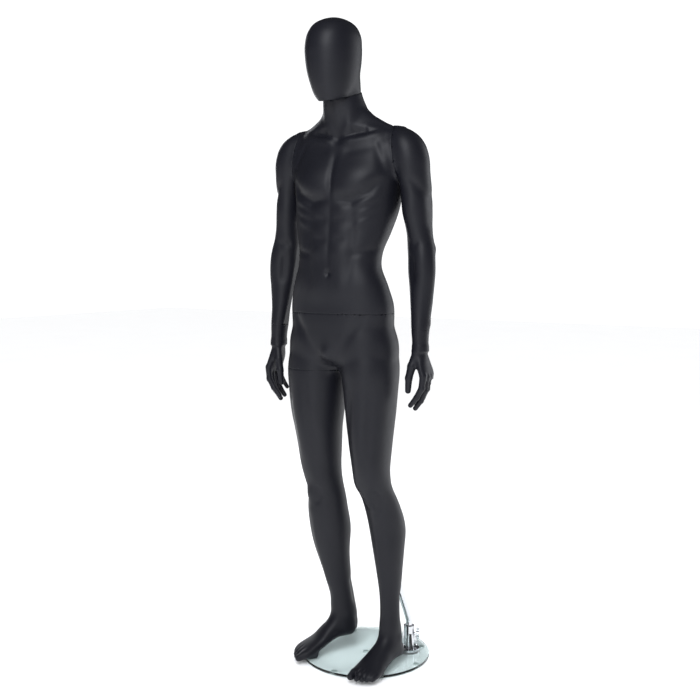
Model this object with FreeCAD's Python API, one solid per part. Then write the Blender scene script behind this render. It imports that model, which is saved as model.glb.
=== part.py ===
import FreeCAD, Part
import math
import os

# Full body retail mannequin: hollow shells joined by twist-lock fittings, standing on a
# round glass base with a bent calf rod. Millimetres. +Z up, the figure faces -Y and its
# left side is +X. The origin is on the floor under the centre of the glass disc.

Vec = FreeCAD.Vector
UP = Vec(0, 0, 1)

# ---------------------------------------------------------------- base
DISC_RADIUS = 190.0
DISC_THICKNESS = 8.0
DISC_EDGE_ROUND = 2.5
PAD_HEIGHT = 3.0
PAD_RADIUS = 9.0
PAD_RING_RADIUS = 172.0
PAD_COUNT = 8
DISC_TOP = PAD_HEIGHT + DISC_THICKNESS

FITTING_X = 105.0
FITTING_Y = 76.0
FITTING_FOOT_RADIUS = 32.0
FITTING_FOOT_THICKNESS = 6.0
FITTING_HEIGHT = 74.0
SLEEVE_RADIUS = 16.0
RIB_COUNT = 4
RIB_THICKNESS = 7.0
RIB_HEIGHT = 52.0
RIB_REACH = 29.0
WINDOW_RADIUS = 5.0
WINDOW_REACH = 20.5
WINDOW_HEIGHT = 15.0
GASKET_THICKNESS = 1.0
CLAMP_PLATE_THICKNESS = 2.0
BASE_SCREW_RING = 22.0
BASE_SCREW_RADIUS = 2.5
BASE_SCREW_HEAD = 4.5
BASE_SCREW_DEPTH = 9.0
BASE_SCREW_COUNT = 4

# ---------------------------------------------------------------- calf rod
ROD_RADIUS = 10.0
ROD_BORE_CLEARANCE = 0.08
ROD_SEAT = DISC_TOP + GASKET_THICKNESS + 12.0
ROD_BEND_Z = 92.0
ROD_BEND_RADIUS = 45.0
ROD_LEAN = 27.0
ROD_UPPER_LENGTH = 262.0
SOCKET_WALL = 2.5
SOCKET_START = 168.0
SOCKET_END_GAP = 0.4
SOCKET_CAP = 4.0

THUMB_HEIGHT = 62.0
THUMB_ANGLE = 20.0
THUMB_SHANK_RADIUS = 3.0
THUMB_KNOB_RADIUS = 10.0
THUMB_KNOB_LENGTH = 9.0
THUMB_SHANK_OUT = 7.0
THUMB_TIP_GAP = 0.35
THUMB_WING = 7.0
THUMB_WING_THICKNESS = 3.0

# ---------------------------------------------------------------- shells
WALL = 3.0
END_WALL = 4.0
SEAM_GAP = 0.6
RING_POINTS = 16
MIDLINE_X = -5.0
SPINE_Y = -82.0
CHEST_TURN = 6.0

WAIST_Z = 1036.0
THIGH_Z = 875.0
NECK_SEAM = Vec(-6.0, -118.0, 1634.0)
NECK_TILT = 16.0
NECK_POCKET_DEPTH = 14.0
SHOULDER_REACH = 156.0
SHOULDER_FORWARD = 4.0
SHOULDER_Z = 1452.0
SHOULDER_TILT = 8.0
SHOULDER_FACE_RADIUS = 97.0
ARM_INSET = 17.0
WRIST_Z = 992.0

# Sections run up each part: height, centre x, centre y, half width, depth to the front,
# depth to the back, squareness of the outline, turn about the vertical in degrees.
TRUNK = [
    (878, -5, -110, 160, 90, 108, 2.3, 0),
    (940, -5, -111, 158, 95, 114, 2.3, 0),
    (1000, -5, -116, 153, 95, 110, 2.3, 0),
    (1060, -5, -122, 149, 91, 100, 2.3, 0),
    (1110, -5, -129, 141, 88, 90, 2.25, 1),
    (1165, -5, -130, 125, 86, 80, 2.25, 3),
    (1200, -5, -126, 124, 88, 78, 2.25, 4),
    (1260, -5, -110, 135, 96, 84, 2.3, 5),
    (1320, -5, -94, 147, 106, 92, 2.4, 6),
    (1370, -5, -84, 151, 114, 94, 2.5, 6),
    (1420, -5, -82, 160, 108, 92, 2.5, 6),
    (1470, -5, -82, 167, 88, 84, 2.4, 6),
    (1500, -5, -84, 163, 75, 74, 2.3, 6),
    (1525, -5, -90, 146, 65, 66, 2.1, 6),
    (1550, -5, -99, 102, 59, 62, 2.0, 6),
    (1570, -5, -107, 70, 56, 58, 2.0, 6),
    (1595, -5, -113, 56, 54, 55, 2.0, 6),
    (1625, -6, -114, 52, 52, 50, 2.0, 5),
    (1672, -6, -112, 50, 50, 49, 2.0, 4),
]
LEFT_LEG = [
    (62, 112, -42, 30, 44, 36, 2.2, 0),
    (110, 111, -44, 31, 42, 38, 2.1, 0),
    (160, 110, -43, 29, 34, 36, 2.0, 0),
    (225, 108, -42, 30, 35, 37, 2.0, 0),
    (291, 105, -42, 37, 41, 44, 2.0, 0),
    (350, 102, -42, 44, 48, 51, 2.0, 0),
    (409, 98, -44, 50, 52, 57, 2.0, 0),
    (450, 96, -54, 51, 52, 57, 2.0, 0),
    (500, 92, -73, 50, 50, 52, 2.05, 0),
    (545, 88, -97, 48, 55, 50, 2.1, 0),
    (584, 87, -108, 50, 59, 53, 2.1, 0),
    (642, 86, -112, 56, 67, 60, 2.1, 0),
    (700, 85, -111, 62, 74, 67, 2.1, 0),
    (757, 84, -110, 68, 78, 77, 2.1, 0),
    (820, 83, -111, 73, 82, 86, 2.1, 0),
    (880, 81, -112, 76, 86, 97, 2.1, 0),
    (940, 74, -112, 60, 66, 84, 2.1, 0),
    (985, 62, -112, 36, 40, 50, 2.0, 0),
]
RIGHT_LEG = [
    (88, -56, -18, 30, 48, 34, 2.2, -34),
    (110, -58, -21, 32, 48, 38, 2.2, -34),
    (140, -61, -25, 32, 42, 38, 2.1, -34),
    (180, -64, -30, 32, 38, 36, 2.0, -33),
    (225, -68, -40, 34, 40, 37, 2.0, -31),
    (291, -73, -54, 41, 47, 43, 2.0, -29),
    (350, -77, -66, 49, 54, 50, 2.0, -27),
    (409, -79, -76, 55, 59, 56, 2.0, -24),
    (450, -80, -82, 56, 60, 57, 2.0, -22),
    (500, -80, -88, 54, 57, 54, 2.05, -20),
    (545, -82, -96, 51, 57, 50, 2.1, -17),
    (584, -84, -104, 52, 59, 53, 2.1, -14),
    (642, -86, -112, 58, 67, 60, 2.1, -11),
    (700, -88, -117, 65, 74, 67, 2.1, -8),
    (757, -89, -116, 72, 80, 77, 2.1, -6),
    (820, -90, -114, 77, 85, 87, 2.1, -4),
    (880, -90, -112, 79, 86, 97, 2.1, -2),
    (940, -82, -112, 60, 66, 84, 2.1, 0),
    (985, -70, -112, 36, 40, 50, 2.0, 0),
]
HEAD = [
    (1600, -6, -150, 40, 58, 84, 2.2, 0),
    (1630, -6, -156, 50, 75, 92, 2.15, 0),
    (1660, -6, -160, 58, 79, 92, 2.1, 0),
    (1684, -7, -165, 64, 82, 84, 2.1, 0),
    (1718, -7, -164, 69, 87, 90, 2.1, 0),
    (1758, -7, -162, 70, 88, 91, 2.1, 0),
    (1794, -7, -160, 63, 78, 82, 2.05, 0),
    (1818, -7, -159, 46, 56, 60, 2.0, 0),
    (1831, -7, -158, 26, 31, 33, 2.0, 0),
    (1835, -7, -158, 6, 8, 8, 2.0, 0),
]
# Arm sections are measured from the chest mid-plane, outwards and backwards.
ARM = [
    (935, 226, -17, 22, 27, 27, 2.0, 0),
    (965, 225, -16, 22, 27, 27, 2.0, 0),
    (990, 224, -14, 24, 29, 29, 2.0, 0),
    (1040, 223, -7, 27, 31, 31, 2.0, -15),
    (1100, 222, 1, 34, 34, 34, 2.0, -33),
    (1150, 219, 7, 41, 35, 35, 2.0, -33),
    (1200, 217, 8, 39, 36, 36, 2.0, -33),
    (1250, 213, 8, 35, 40, 40, 2.0, -10),
    (1310, 202, 12, 40, 50, 51, 2.0, 0),
    (1370, 197, 10, 43, 55, 56, 2.0, 0),
    (1420, 190, 6, 48, 59, 59, 2.0, 0),
    (1465, 181, 5, 54, 61, 59, 2.0, 0),
    (1500, 173, 4, 48, 55, 53, 2.0, 0),
    (1525, 166, 4, 34, 40, 38, 2.0, 0),
    (1538, 160, 4, 18, 22, 22, 2.0, 0),
    (1542, 158, 4, 6, 8, 8, 2.0, 0),
]
# Foot sections run forward from the heel: distance, height of centre, half width,
# depth below the centre, depth above it, squareness.
LEFT_FOOT = [
    (0, 40, 10, 8, 10, 2.0),
    (8, 42, 22, 16, 20, 2.1),
    (28, 44, 30, 17, 28, 2.2),
    (60, 46, 31, 17, 42, 2.2),
    (95, 40, 33, 16, 42, 2.2),
    (130, 32, 37, 18, 32, 2.3),
    (165, 26, 41, 14, 22, 2.4),
    (192, 22, 41, 10, 15, 2.5),
    (212, 20, 33, 8, 10, 2.4),
    (222, 19, 20, 5, 6, 2.2),
    (226, 19, 6, 2, 2, 2.0),
]
RIGHT_FOOT = [
    (0, 82, 10, 10, 12, 2.0),
    (8, 80, 22, 20, 24, 2.1),
    (28, 78, 30, 20, 30, 2.2),
    (58, 74, 31, 18, 38, 2.2),
    (90, 62, 33, 17, 36, 2.2),
    (120, 48, 37, 17, 30, 2.3),
    (150, 31, 41, 16, 24, 2.4),
    (176, 25, 41, 13, 17, 2.5),
    (194, 21, 33, 9, 11, 2.4),
    (204, 20, 20, 6, 7, 2.2),
    (208, 20, 6, 2, 2, 2.0),
]
LEFT_HEEL = Vec(112, 8, 0)
LEFT_FOOT_TURN = 2.0
RIGHT_HEEL = Vec(-40, -2, 0)
RIGHT_FOOT_TURN = -34.0

# Hand sections hang from the wrist: distance below it, across, behind, half width,
# thickness over the back, thickness over the palm, squareness.
PALM = [
    (0, 0, 0, 27, 22, 22, 2.0),
    (20, 0, -2, 27, 19, 19, 2.1),
    (45, 2, -8, 35, 15, 17, 2.3),
    (70, 3, -16, 39, 13, 14, 2.4),
    (86, 3, -20, 37, 10, 11, 2.4),
]
# Each finger is a chain of joints: across, behind, distance below the wrist, radius.
FINGERS = [
    [(-27, -20, 78, 9.5), (-28, -16, 112, 8.8), (-28, -1, 138, 8.0), (-27, 17, 160, 6.8)],
    [(-9, -22, 82, 9.5), (-9, -18, 120, 8.8), (-9, -6, 148, 8.0), (-9, 10, 170, 6.8)],
    [(9, -21, 80, 9.3), (9, -16, 116, 8.6), (9, -3, 142, 7.8), (8, 13, 162, 6.6)],
    [(26, -18, 76, 8.5), (27, -12, 104, 7.6), (26, -1, 124, 6.8), (25, 12, 140, 5.8)],
]
THUMB = [(-16, 6, 22, 12.5), (-26, 14, 52, 12.0), (-30, 21, 84, 10.0), (-28, 24, 120, 8.0)]
HAND_TOP_Z = 942.0
HAND_TURN = 90.0
HAND_REACH = 225.5
HAND_BACK = -16.5

# ---------------------------------------------------------------- seam fittings
# plate radius, plate thickness, shank radius, half length and thickness of the cross bar
LARGE_FITTING = {"plate": 46.0, "thick": 4.0, "shank": 7.0, "bar": 22.0, "bar_thick": 9.0}
SMALL_FITTING = {"plate": 32.0, "thick": 3.0, "shank": 5.0, "bar": 14.0, "bar_thick": 7.0}
SHOULDER_FITTING = {"plate": 24.0, "thick": 3.0, "shank": 5.0, "bar": 11.0, "bar_thick": 7.0}
SHANK_CLEARANCE = 0.4
BAR_GAP = 0.4
PLATE_PLAY = 0.15
SCREW_COUNT = 4
SCREW_RADIUS = 2.0
SCREW_HEAD = 4.0
SCREW_CONE = 2.2
SCREW_SUNK = 0.3
SCREW_PLAY = 0.06

WRIST_STUD_RADIUS = 6.0
WRIST_STUD_UP = 34.0
WRIST_STUD_DOWN = 26.0
WRIST_SOCKET_WALL = 3.0
WRIST_PLAY = 0.1
WRIST_CAP = 3.0

FAR = 1500.0


def ring(row, inset=0.0):
    """Closed smooth outline of one horizontal section."""
    z, x, y, half, front, back, power, turn = row
    spin = math.radians(turn)
    points = []
    for i in range(RING_POINTS):
        angle = 2 * math.pi * i / RING_POINTS
        c = math.cos(angle)
        s = math.sin(angle)
        depth = back if s > 0 else front
        px = (half - inset) * math.copysign(abs(c) ** (2 / power), c)
        py = (depth - inset) * math.copysign(abs(s) ** (2 / power), s)
        dx = px * math.cos(spin) - py * math.sin(spin)
        dy = px * math.sin(spin) + py * math.cos(spin)
        points.append(Vec(x + dx, y + dy, z))
    curve = Part.BSplineCurve()
    curve.interpolate(points, PeriodicFlag=True)
    return Part.Wire([curve.toShape()])


def stack(rows, inset=0.0):
    """Solid through a stack of sections; an inset gives the hollow inside its wall."""
    used = [r for r in rows if min(r[3], r[4], r[5]) - inset > WALL]
    return Part.makeLoft([ring(r, inset) for r in used], True, False)


def beyond(point, normal):
    """Everything on the far side of a plane."""
    return Part.makeCylinder(FAR, FAR, point, normal)


def fuse(shapes):
    whole = shapes[0].multiFuse(shapes[1:]).removeSplitter()
    return whole.Solids[0] if len(whole.Solids) == 1 else whole


def one_solid(shape):
    """The largest solid of a cut, which is the part itself."""
    return max(shape.Solids, key=lambda s: s.Volume)


def turned(x, y, z):
    """A place measured from the chest mid-plane, in the shared frame."""
    a = math.radians(CHEST_TURN)
    return Vec(
        MIDLINE_X + x * math.cos(a) - y * math.sin(a),
        SPINE_Y + x * math.sin(a) + y * math.cos(a),
        z,
    )


def save(name, solids):
    shape = Part.makeCompound(solids) if len(solids) > 1 else solids[0]
    shape.exportStep(os.path.join("parts", name + ".step"))


# ---------------------------------------------------------------- seam hardware
def side_of(normal):
    """A direction square to the normal, level wherever that is possible."""
    side = UP.cross(normal)
    return side.normalize() if side.Length > 0.01 else Vec(1, 0, 0)


def screw_places(seam, normal, size):
    side = side_of(normal)
    other = normal.cross(side)
    reach = size["plate"] - SCREW_HEAD - 2.0
    places = []
    for i in range(SCREW_COUNT):
        a = 2 * math.pi * (i + 0.5) / SCREW_COUNT
        places.append(seam + side * (reach * math.cos(a)) + other * (reach * math.sin(a)))
    return places


def face_screw(place, into, depth, play=0.0):
    """Countersunk screw whose head is just below a seam face."""
    top = place + into * (SEAM_GAP / 2 + SCREW_SUNK - play)
    cone = Part.makeCone(SCREW_HEAD + play, SCREW_RADIUS + play, SCREW_CONE, top, into)
    shank = Part.makeCylinder(SCREW_RADIUS + play, depth, top, into)
    if not play:
        return cone.fuse(shank)
    mouth = Part.makeCylinder(SCREW_HEAD + play, SCREW_SUNK, place + into * (SEAM_GAP / 2), into)
    return fuse([cone, shank, mouth])


def socket_plate(seam, normal, size):
    """Steel plate behind the end wall, with a slot the cross bar enters by."""
    into = normal * -1
    face = seam + into * (SEAM_GAP / 2 + END_WALL)
    plate = Part.makeCylinder(size["plate"], size["thick"], face, into)
    hole = Part.makeCylinder(size["shank"] + SHANK_CLEARANCE, size["thick"], face, into)
    slot = Part.makeBox(
        2 * size["bar"] + 2, 2 * size["shank"] + 1, size["thick"],
        Vec(-size["bar"] - 1, -size["shank"] - 0.5, 0),
    )
    slot.Placement = FreeCAD.Placement(face, axes_of(into)).multiply(slot.Placement)
    plate = plate.cut(fuse([hole, slot]))
    for place in screw_places(seam, normal, size):
        plate = plate.cut(face_screw(place, into, screw_length(size) + 1, SCREW_PLAY))
    return plate


def screw_length(size):
    return END_WALL - SCREW_SUNK + size["thick"] - 0.5


def axes_of(z_dir):
    """Rotation that takes local Z onto a direction and local X level."""
    return FreeCAD.Rotation(side_of(z_dir), Vec(0, 0, 0), z_dir, "ZXY")


def stud(seam, normal, size):
    """Flange inside the child part, shank through both end walls, cross bar behind the plate."""
    into = normal * -1
    flange_face = seam + normal * (SEAM_GAP / 2 + END_WALL)
    flange = Part.makeCylinder(size["plate"], size["thick"], flange_face, normal)
    bar_depth = SEAM_GAP / 2 + END_WALL + size["thick"] + BAR_GAP
    reach = bar_depth + SEAM_GAP / 2 + END_WALL + size["bar_thick"]
    shank = Part.makeCylinder(size["shank"], reach, flange_face, into)
    bar = Part.makeBox(
        2 * size["shank"] - 0.5, 2 * size["bar"], size["bar_thick"],
        Vec(0.25 - size["shank"], -size["bar"], 0),
    )
    base = seam + into * bar_depth
    bar.Placement = FreeCAD.Placement(base, axes_of(into)).multiply(bar.Placement)
    whole = fuse([flange, shank, bar])
    for place in screw_places(seam, normal, size):
        whole = whole.cut(face_screw(place, normal, screw_length(size) + 1, SCREW_PLAY))
    return whole


def seam_screws(seam, normal, into, size):
    places = screw_places(seam, normal, size)
    return [face_screw(p, into, screw_length(size)) for p in places]


def wall_openings(seam, normal, into, size, radius):
    """What an end wall gives up to its fitting: the middle hole and the screw holes."""
    middle = Part.makeCylinder(radius, END_WALL + 1, seam, into)
    holes = [
        face_screw(p, into, END_WALL + 1, SCREW_PLAY)
        for p in screw_places(seam, normal, size)
    ]
    return [middle] + holes


def socket_wall(seam, normal, size):
    return wall_openings(seam, normal, normal * -1, size, size["bar"] + 1.5)


def stud_wall(seam, normal, size):
    return wall_openings(seam, normal, normal, size, size["shank"] + PLATE_PLAY)


# ---------------------------------------------------------------- seam planes
NECK_NORMAL = Vec(0, -math.sin(math.radians(NECK_TILT)), math.cos(math.radians(NECK_TILT)))


def shoulder(side):
    """Centre and outward normal of a shoulder seam; side is 1 for left, -1 for right."""
    tilt = math.radians(SHOULDER_TILT)
    turn = math.radians(CHEST_TURN)
    flat = Vec(side * math.cos(turn), side * math.sin(turn), 0)
    normal = flat * math.cos(tilt) + UP * math.sin(tilt)
    return turned(side * SHOULDER_REACH, SHOULDER_FORWARD, SHOULDER_Z), normal


def wrist(side):
    """Centre and downward normal of a wrist seam, square to the forearm."""
    (low_z, low_x, low_y), (high_z, high_x, high_y) = (ARM[i][:3] for i in (0, 3))
    low = turned(side * low_x, low_y, low_z)
    high = turned(side * high_x, high_y, high_z)
    share = (WRIST_Z - low_z) / (high_z - low_z)
    centre = low + (high - low) * share
    return centre, (low - high).normalize()


WAIST_SEAM = Vec(MIDLINE_X, -119.0, WAIST_Z)
THIGH_SEAM = Vec(-90.0, -112.0, THIGH_Z)


# ---------------------------------------------------------------- base
def glass_disc():
    disc = Part.makeCylinder(DISC_RADIUS, DISC_THICKNESS, Vec(0, 0, PAD_HEIGHT))
    disc = disc.makeFillet(DISC_EDGE_ROUND, [e for e in disc.Edges if e.isClosed()])
    for place in base_screw_places():
        hole = Part.makeCylinder(BASE_SCREW_RADIUS + 1.0, FAR, place - UP * DISC_TOP)
        disc = disc.cut(hole)
    return disc


def base_screw_places():
    places = []
    for i in range(BASE_SCREW_COUNT):
        a = 2 * math.pi * i / BASE_SCREW_COUNT
        x = FITTING_X + BASE_SCREW_RING * math.cos(a)
        y = FITTING_Y + BASE_SCREW_RING * math.sin(a)
        places.append(Vec(x, y, DISC_TOP))
    return places


def bumper_pads():
    pads = [Part.makeCylinder(PAD_RADIUS, PAD_HEIGHT)]
    for i in range(PAD_COUNT):
        a = 2 * math.pi * i / PAD_COUNT
        place = Vec(PAD_RING_RADIUS * math.cos(a), PAD_RING_RADIUS * math.sin(a), 0)
        pads.append(Part.makeCylinder(PAD_RADIUS, PAD_HEIGHT, place))
    return pads


def foot_gasket():
    gasket = Part.makeCylinder(
        FITTING_FOOT_RADIUS, GASKET_THICKNESS, Vec(FITTING_X, FITTING_Y, DISC_TOP)
    )
    for place in base_screw_places():
        gasket = gasket.cut(Part.makeCylinder(BASE_SCREW_RADIUS + 0.5, FAR, place))
    return gasket


def base_fitting():
    """Cast foot with an upright sleeve and four windowed ribs that splay to the foot."""
    foot_z = DISC_TOP + GASKET_THICKNESS
    centre = Vec(FITTING_X, FITTING_Y, foot_z)
    foot = Part.makeCylinder(FITTING_FOOT_RADIUS, FITTING_FOOT_THICKNESS, centre)
    sleeve = Part.makeCylinder(SLEEVE_RADIUS, FITTING_HEIGHT, centre)
    body = [foot, sleeve]
    windows = []
    for i in range(RIB_COUNT):
        outline = [
            Vec(0, -RIB_THICKNESS / 2, 0),
            Vec(RIB_REACH, -RIB_THICKNESS / 2, 0),
            Vec(RIB_REACH, -RIB_THICKNESS / 2, FITTING_FOOT_THICKNESS + 2),
            Vec(SLEEVE_RADIUS, -RIB_THICKNESS / 2, RIB_HEIGHT),
            Vec(0, -RIB_THICKNESS / 2, RIB_HEIGHT),
        ]
        rib = Part.Face(Part.makePolygon(outline + outline[:1])).extrude(Vec(0, RIB_THICKNESS, 0))
        window = Part.makeCylinder(
            WINDOW_RADIUS, RIB_THICKNESS,
            Vec(WINDOW_REACH, -RIB_THICKNESS / 2, WINDOW_HEIGHT), Vec(0, 1, 0),
        )
        angle = 45 + 360 * i / RIB_COUNT
        for shape in (rib, window):
            shape.rotate(Vec(0, 0, 0), UP, angle)
            shape.translate(centre)
        body.append(rib)
        windows.append(window)
    casting = fuse(body)
    bore = Part.makeCylinder(
        ROD_RADIUS + ROD_BORE_CLEARANCE, FAR, Vec(FITTING_X, FITTING_Y, ROD_SEAT)
    )
    screws = [
        Part.makeCylinder(BASE_SCREW_RADIUS + SCREW_PLAY, BASE_SCREW_DEPTH + 1, p)
        for p in base_screw_places()
    ]
    cuts = windows + [bore, thumb_shank(THUMB_TIP_GAP, 0.1)] + screws
    return casting.cut(fuse(cuts))


def thumb_axis():
    a = math.radians(THUMB_ANGLE)
    return Vec(math.cos(a), math.sin(a), 0)


def thumb_shank(tip_gap, play=0.0):
    start = Vec(FITTING_X, FITTING_Y, THUMB_HEIGHT) + thumb_axis() * (ROD_RADIUS + tip_gap)
    length = SLEEVE_RADIUS - ROD_RADIUS - tip_gap + THUMB_SHANK_OUT
    return Part.makeCylinder(THUMB_SHANK_RADIUS + play, length, start, thumb_axis())


def thumb_screw():
    """Clamping screw with a round head and two small wings."""
    out = thumb_axis()
    head = Vec(FITTING_X, FITTING_Y, THUMB_HEIGHT) + out * (SLEEVE_RADIUS + THUMB_SHANK_OUT)
    knob = Part.makeCylinder(THUMB_KNOB_RADIUS, THUMB_KNOB_LENGTH, head, out)
    wing = Part.makeBox(
        THUMB_WING_THICKNESS, 2 * (THUMB_KNOB_RADIUS + THUMB_WING), THUMB_KNOB_LENGTH,
        Vec(-THUMB_WING_THICKNESS / 2, -THUMB_KNOB_RADIUS - THUMB_WING, 0),
    )
    wing.Placement = FreeCAD.Placement(head, axes_of(out)).multiply(wing.Placement)
    return fuse([thumb_shank(THUMB_TIP_GAP), knob, wing])


def clamp_plate():
    """Steel washer plate under the glass that the foot screws pull against."""
    z = PAD_HEIGHT - CLAMP_PLATE_THICKNESS
    plate = Part.makeCylinder(
        FITTING_FOOT_RADIUS, CLAMP_PLATE_THICKNESS, Vec(FITTING_X, FITTING_Y, z)
    )
    for place in base_screw_places():
        low = Vec(place.x, place.y, z)
        cone = Part.makeCone(
            BASE_SCREW_HEAD + 0.1, BASE_SCREW_RADIUS + 0.1, CLAMP_PLATE_THICKNESS, low
        )
        plate = plate.cut(cone)
    return plate


def base_screws():
    screws = []
    for place in base_screw_places():
        low = Vec(place.x, place.y, PAD_HEIGHT - CLAMP_PLATE_THICKNESS)
        head = Part.makeCone(BASE_SCREW_HEAD, BASE_SCREW_RADIUS, CLAMP_PLATE_THICKNESS, low)
        length = DISC_TOP - low.z + BASE_SCREW_DEPTH
        shank = Part.makeCylinder(BASE_SCREW_RADIUS, length, low)
        screws.append(head.fuse(shank))
    return screws


# ---------------------------------------------------------------- calf rod
def rod_upper_axis():
    a = math.radians(ROD_LEAN)
    return Vec(0, -math.sin(a), math.cos(a))


def rod_bend():
    """Start, middle and end of the bend between the upright and the leaning length."""
    lean = math.radians(ROD_LEAN)
    start = Vec(FITTING_X, FITTING_Y, ROD_BEND_Z)
    centre = start - Vec(0, ROD_BEND_RADIUS, 0)
    arc = []
    for a in (lean / 2, lean):
        arc.append(centre + Vec(0, math.cos(a), math.sin(a)) * ROD_BEND_RADIUS)
    return start, arc[0], arc[1]


def rod_spine_end(length):
    return rod_bend()[2] + rod_upper_axis() * length


def calf_rod():
    start, middle, end = rod_bend()
    lower = Part.makeCylinder(
        ROD_RADIUS, ROD_BEND_Z - ROD_SEAT, Vec(FITTING_X, FITTING_Y, ROD_SEAT)
    )
    path = Part.Wire([Part.Arc(start, middle, end).toShape()])
    profile = Part.Wire([Part.makeCircle(ROD_RADIUS, start, UP)])
    bend = path.makePipeShell([profile], True, True)
    upper = Part.makeCylinder(ROD_RADIUS, ROD_UPPER_LENGTH, end, rod_upper_axis())
    return fuse([lower, bend, upper])


def socket_outside(play=0.0):
    start = rod_spine_end(SOCKET_START)
    length = ROD_UPPER_LENGTH - SOCKET_START + SOCKET_END_GAP + SOCKET_CAP
    radius = ROD_RADIUS + ROD_BORE_CLEARANCE + SOCKET_WALL + play
    return Part.makeCylinder(radius, length + play, start, rod_upper_axis())


def calf_socket():
    """Steel tube bonded in the calf; its closed end sits on the rod."""
    bore = Part.makeCylinder(
        ROD_RADIUS + ROD_BORE_CLEARANCE,
        ROD_UPPER_LENGTH - SOCKET_START + SOCKET_END_GAP,
        rod_spine_end(SOCKET_START), rod_upper_axis(),
    )
    return socket_outside().cut(bore)


def socket_path():
    """Clear way for the tube and rod through the calf wall."""
    start = rod_spine_end(SOCKET_START - 60.0)
    radius = ROD_RADIUS + ROD_BORE_CLEARANCE + SOCKET_WALL + 0.1
    length = ROD_UPPER_LENGTH - SOCKET_START + 60.0 + SOCKET_END_GAP + SOCKET_CAP + 0.1
    return Part.makeCylinder(radius, length, start, rod_upper_axis())


# ---------------------------------------------------------------- limbs
def foot(rows, heel, turn, inset=0.0):
    """Foot solid: sections stand across the foot, from the heel to the toes."""
    upright = []
    for along, height, half, below, above, power in rows:
        upright.append((along, 0, height, half, below, above, power, 0))
    body = stack(upright, inset)
    body.rotate(Vec(0, 0, 0), Vec(1, 0, 0), 90)
    body.rotate(Vec(0, 0, 0), UP, turn)
    body.translate(heel)
    return body


def arm_outside(side, inset=0.0):
    """Upper arm, forearm and wrist on one side of the chest."""
    rows = []
    for z, x, y, half, front, back, power, turn in ARM:
        place = turned(side * x, y, z)
        rows.append((z, place.x, place.y, half, front, back, power, CHEST_TURN + side * turn))
    return stack(rows, inset)


def arm_side_cut(side, extra):
    """Space an arm keeps out of: the chest beyond the seam face, and its side lower down."""
    seam, normal = shoulder(side)
    into = normal * -1
    near = Part.makeCylinder(SHOULDER_FACE_RADIUS, FAR, seam + normal * extra, into)
    wide = Part.makeCylinder(FAR, FAR, seam + into * (ARM_INSET - extra), into)
    return near.fuse(wide)


def hand_outside(side):
    """Palm, thumb and four curled fingers below the wrist seam."""
    solids = []
    rows = []
    for drop, across, behind, half, over, palm, power in PALM:
        rows.append((-drop, across, behind, half, over, palm, power, 0))
    solids.append(stack(rows))
    for chain in FINGERS + [THUMB]:
        solids.append(finger(chain))
    hand = fuse(solids)
    if side < 0:
        hand = hand.mirror(Vec(0, 0, 0), Vec(1, 0, 0))
    hand.rotate(Vec(0, 0, 0), UP, side * HAND_TURN)
    hand.rotate(Vec(0, 0, 0), UP, CHEST_TURN)
    hand.translate(turned(side * HAND_REACH, HAND_BACK, HAND_TOP_Z))
    return hand


def finger(chain):
    """Rounded segments through the joints of one finger."""
    solids = []
    for (x0, y0, d0, r0), (x1, y1, d1, r1) in zip(chain, chain[1:]):
        start = Vec(x0, y0, -d0)
        end = Vec(x1, y1, -d1)
        axis = end - start
        solids.append(Part.makeCone(r0, r1, axis.Length, start, axis))
        solids.append(Part.makeSphere(r1, end))
    solids.append(Part.makeSphere(chain[0][3], Vec(chain[0][0], chain[0][1], -chain[0][2])))
    return fuse(solids)


# ---------------------------------------------------------------- shells
def hips_left_leg_shell():
    """Pelvis and standing leg in one casting, hollow, closed at the waist and right thigh."""
    waist_top = WAIST_SEAM - UP * (SEAM_GAP / 2)
    thigh_low = THIGH_SEAM + UP * (SEAM_GAP / 2)
    pelvis = stack(TRUNK).cut(beyond(waist_top, UP))
    stub = stack(RIGHT_LEG).cut(beyond(thigh_low, UP * -1))
    leg = stack(LEFT_LEG)
    outside = fuse([pelvis, stub, leg, foot(LEFT_FOOT, LEFT_HEEL, LEFT_FOOT_TURN)])
    room = stack(TRUNK, WALL).cut(beyond(waist_top - UP * END_WALL, UP))
    room = room.cut(beyond(thigh_low + UP * END_WALL, UP * -1))
    stub_room = stack(RIGHT_LEG, WALL).cut(beyond(thigh_low + UP * END_WALL, UP * -1))
    leg_room = stack(LEFT_LEG, WALL)
    shell = outside.cut(fuse([room, stub_room, leg_room]))
    for hole in socket_wall(WAIST_SEAM, UP, LARGE_FITTING):
        shell = shell.cut(hole)
    for hole in socket_wall(THIGH_SEAM, UP * -1, LARGE_FITTING):
        shell = shell.cut(hole)
    return one_solid(shell.cut(socket_path()))


def right_leg_shell():
    top = THIGH_SEAM - UP * (SEAM_GAP / 2)
    leg = stack(RIGHT_LEG).cut(beyond(top, UP))
    outside = fuse([leg, foot(RIGHT_FOOT, RIGHT_HEEL, RIGHT_FOOT_TURN)])
    room = stack(RIGHT_LEG, WALL).cut(beyond(top - UP * END_WALL, UP))
    shell = outside.cut(room)
    for hole in stud_wall(THIGH_SEAM, UP * -1, LARGE_FITTING):
        shell = shell.cut(hole)
    return one_solid(shell)


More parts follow.
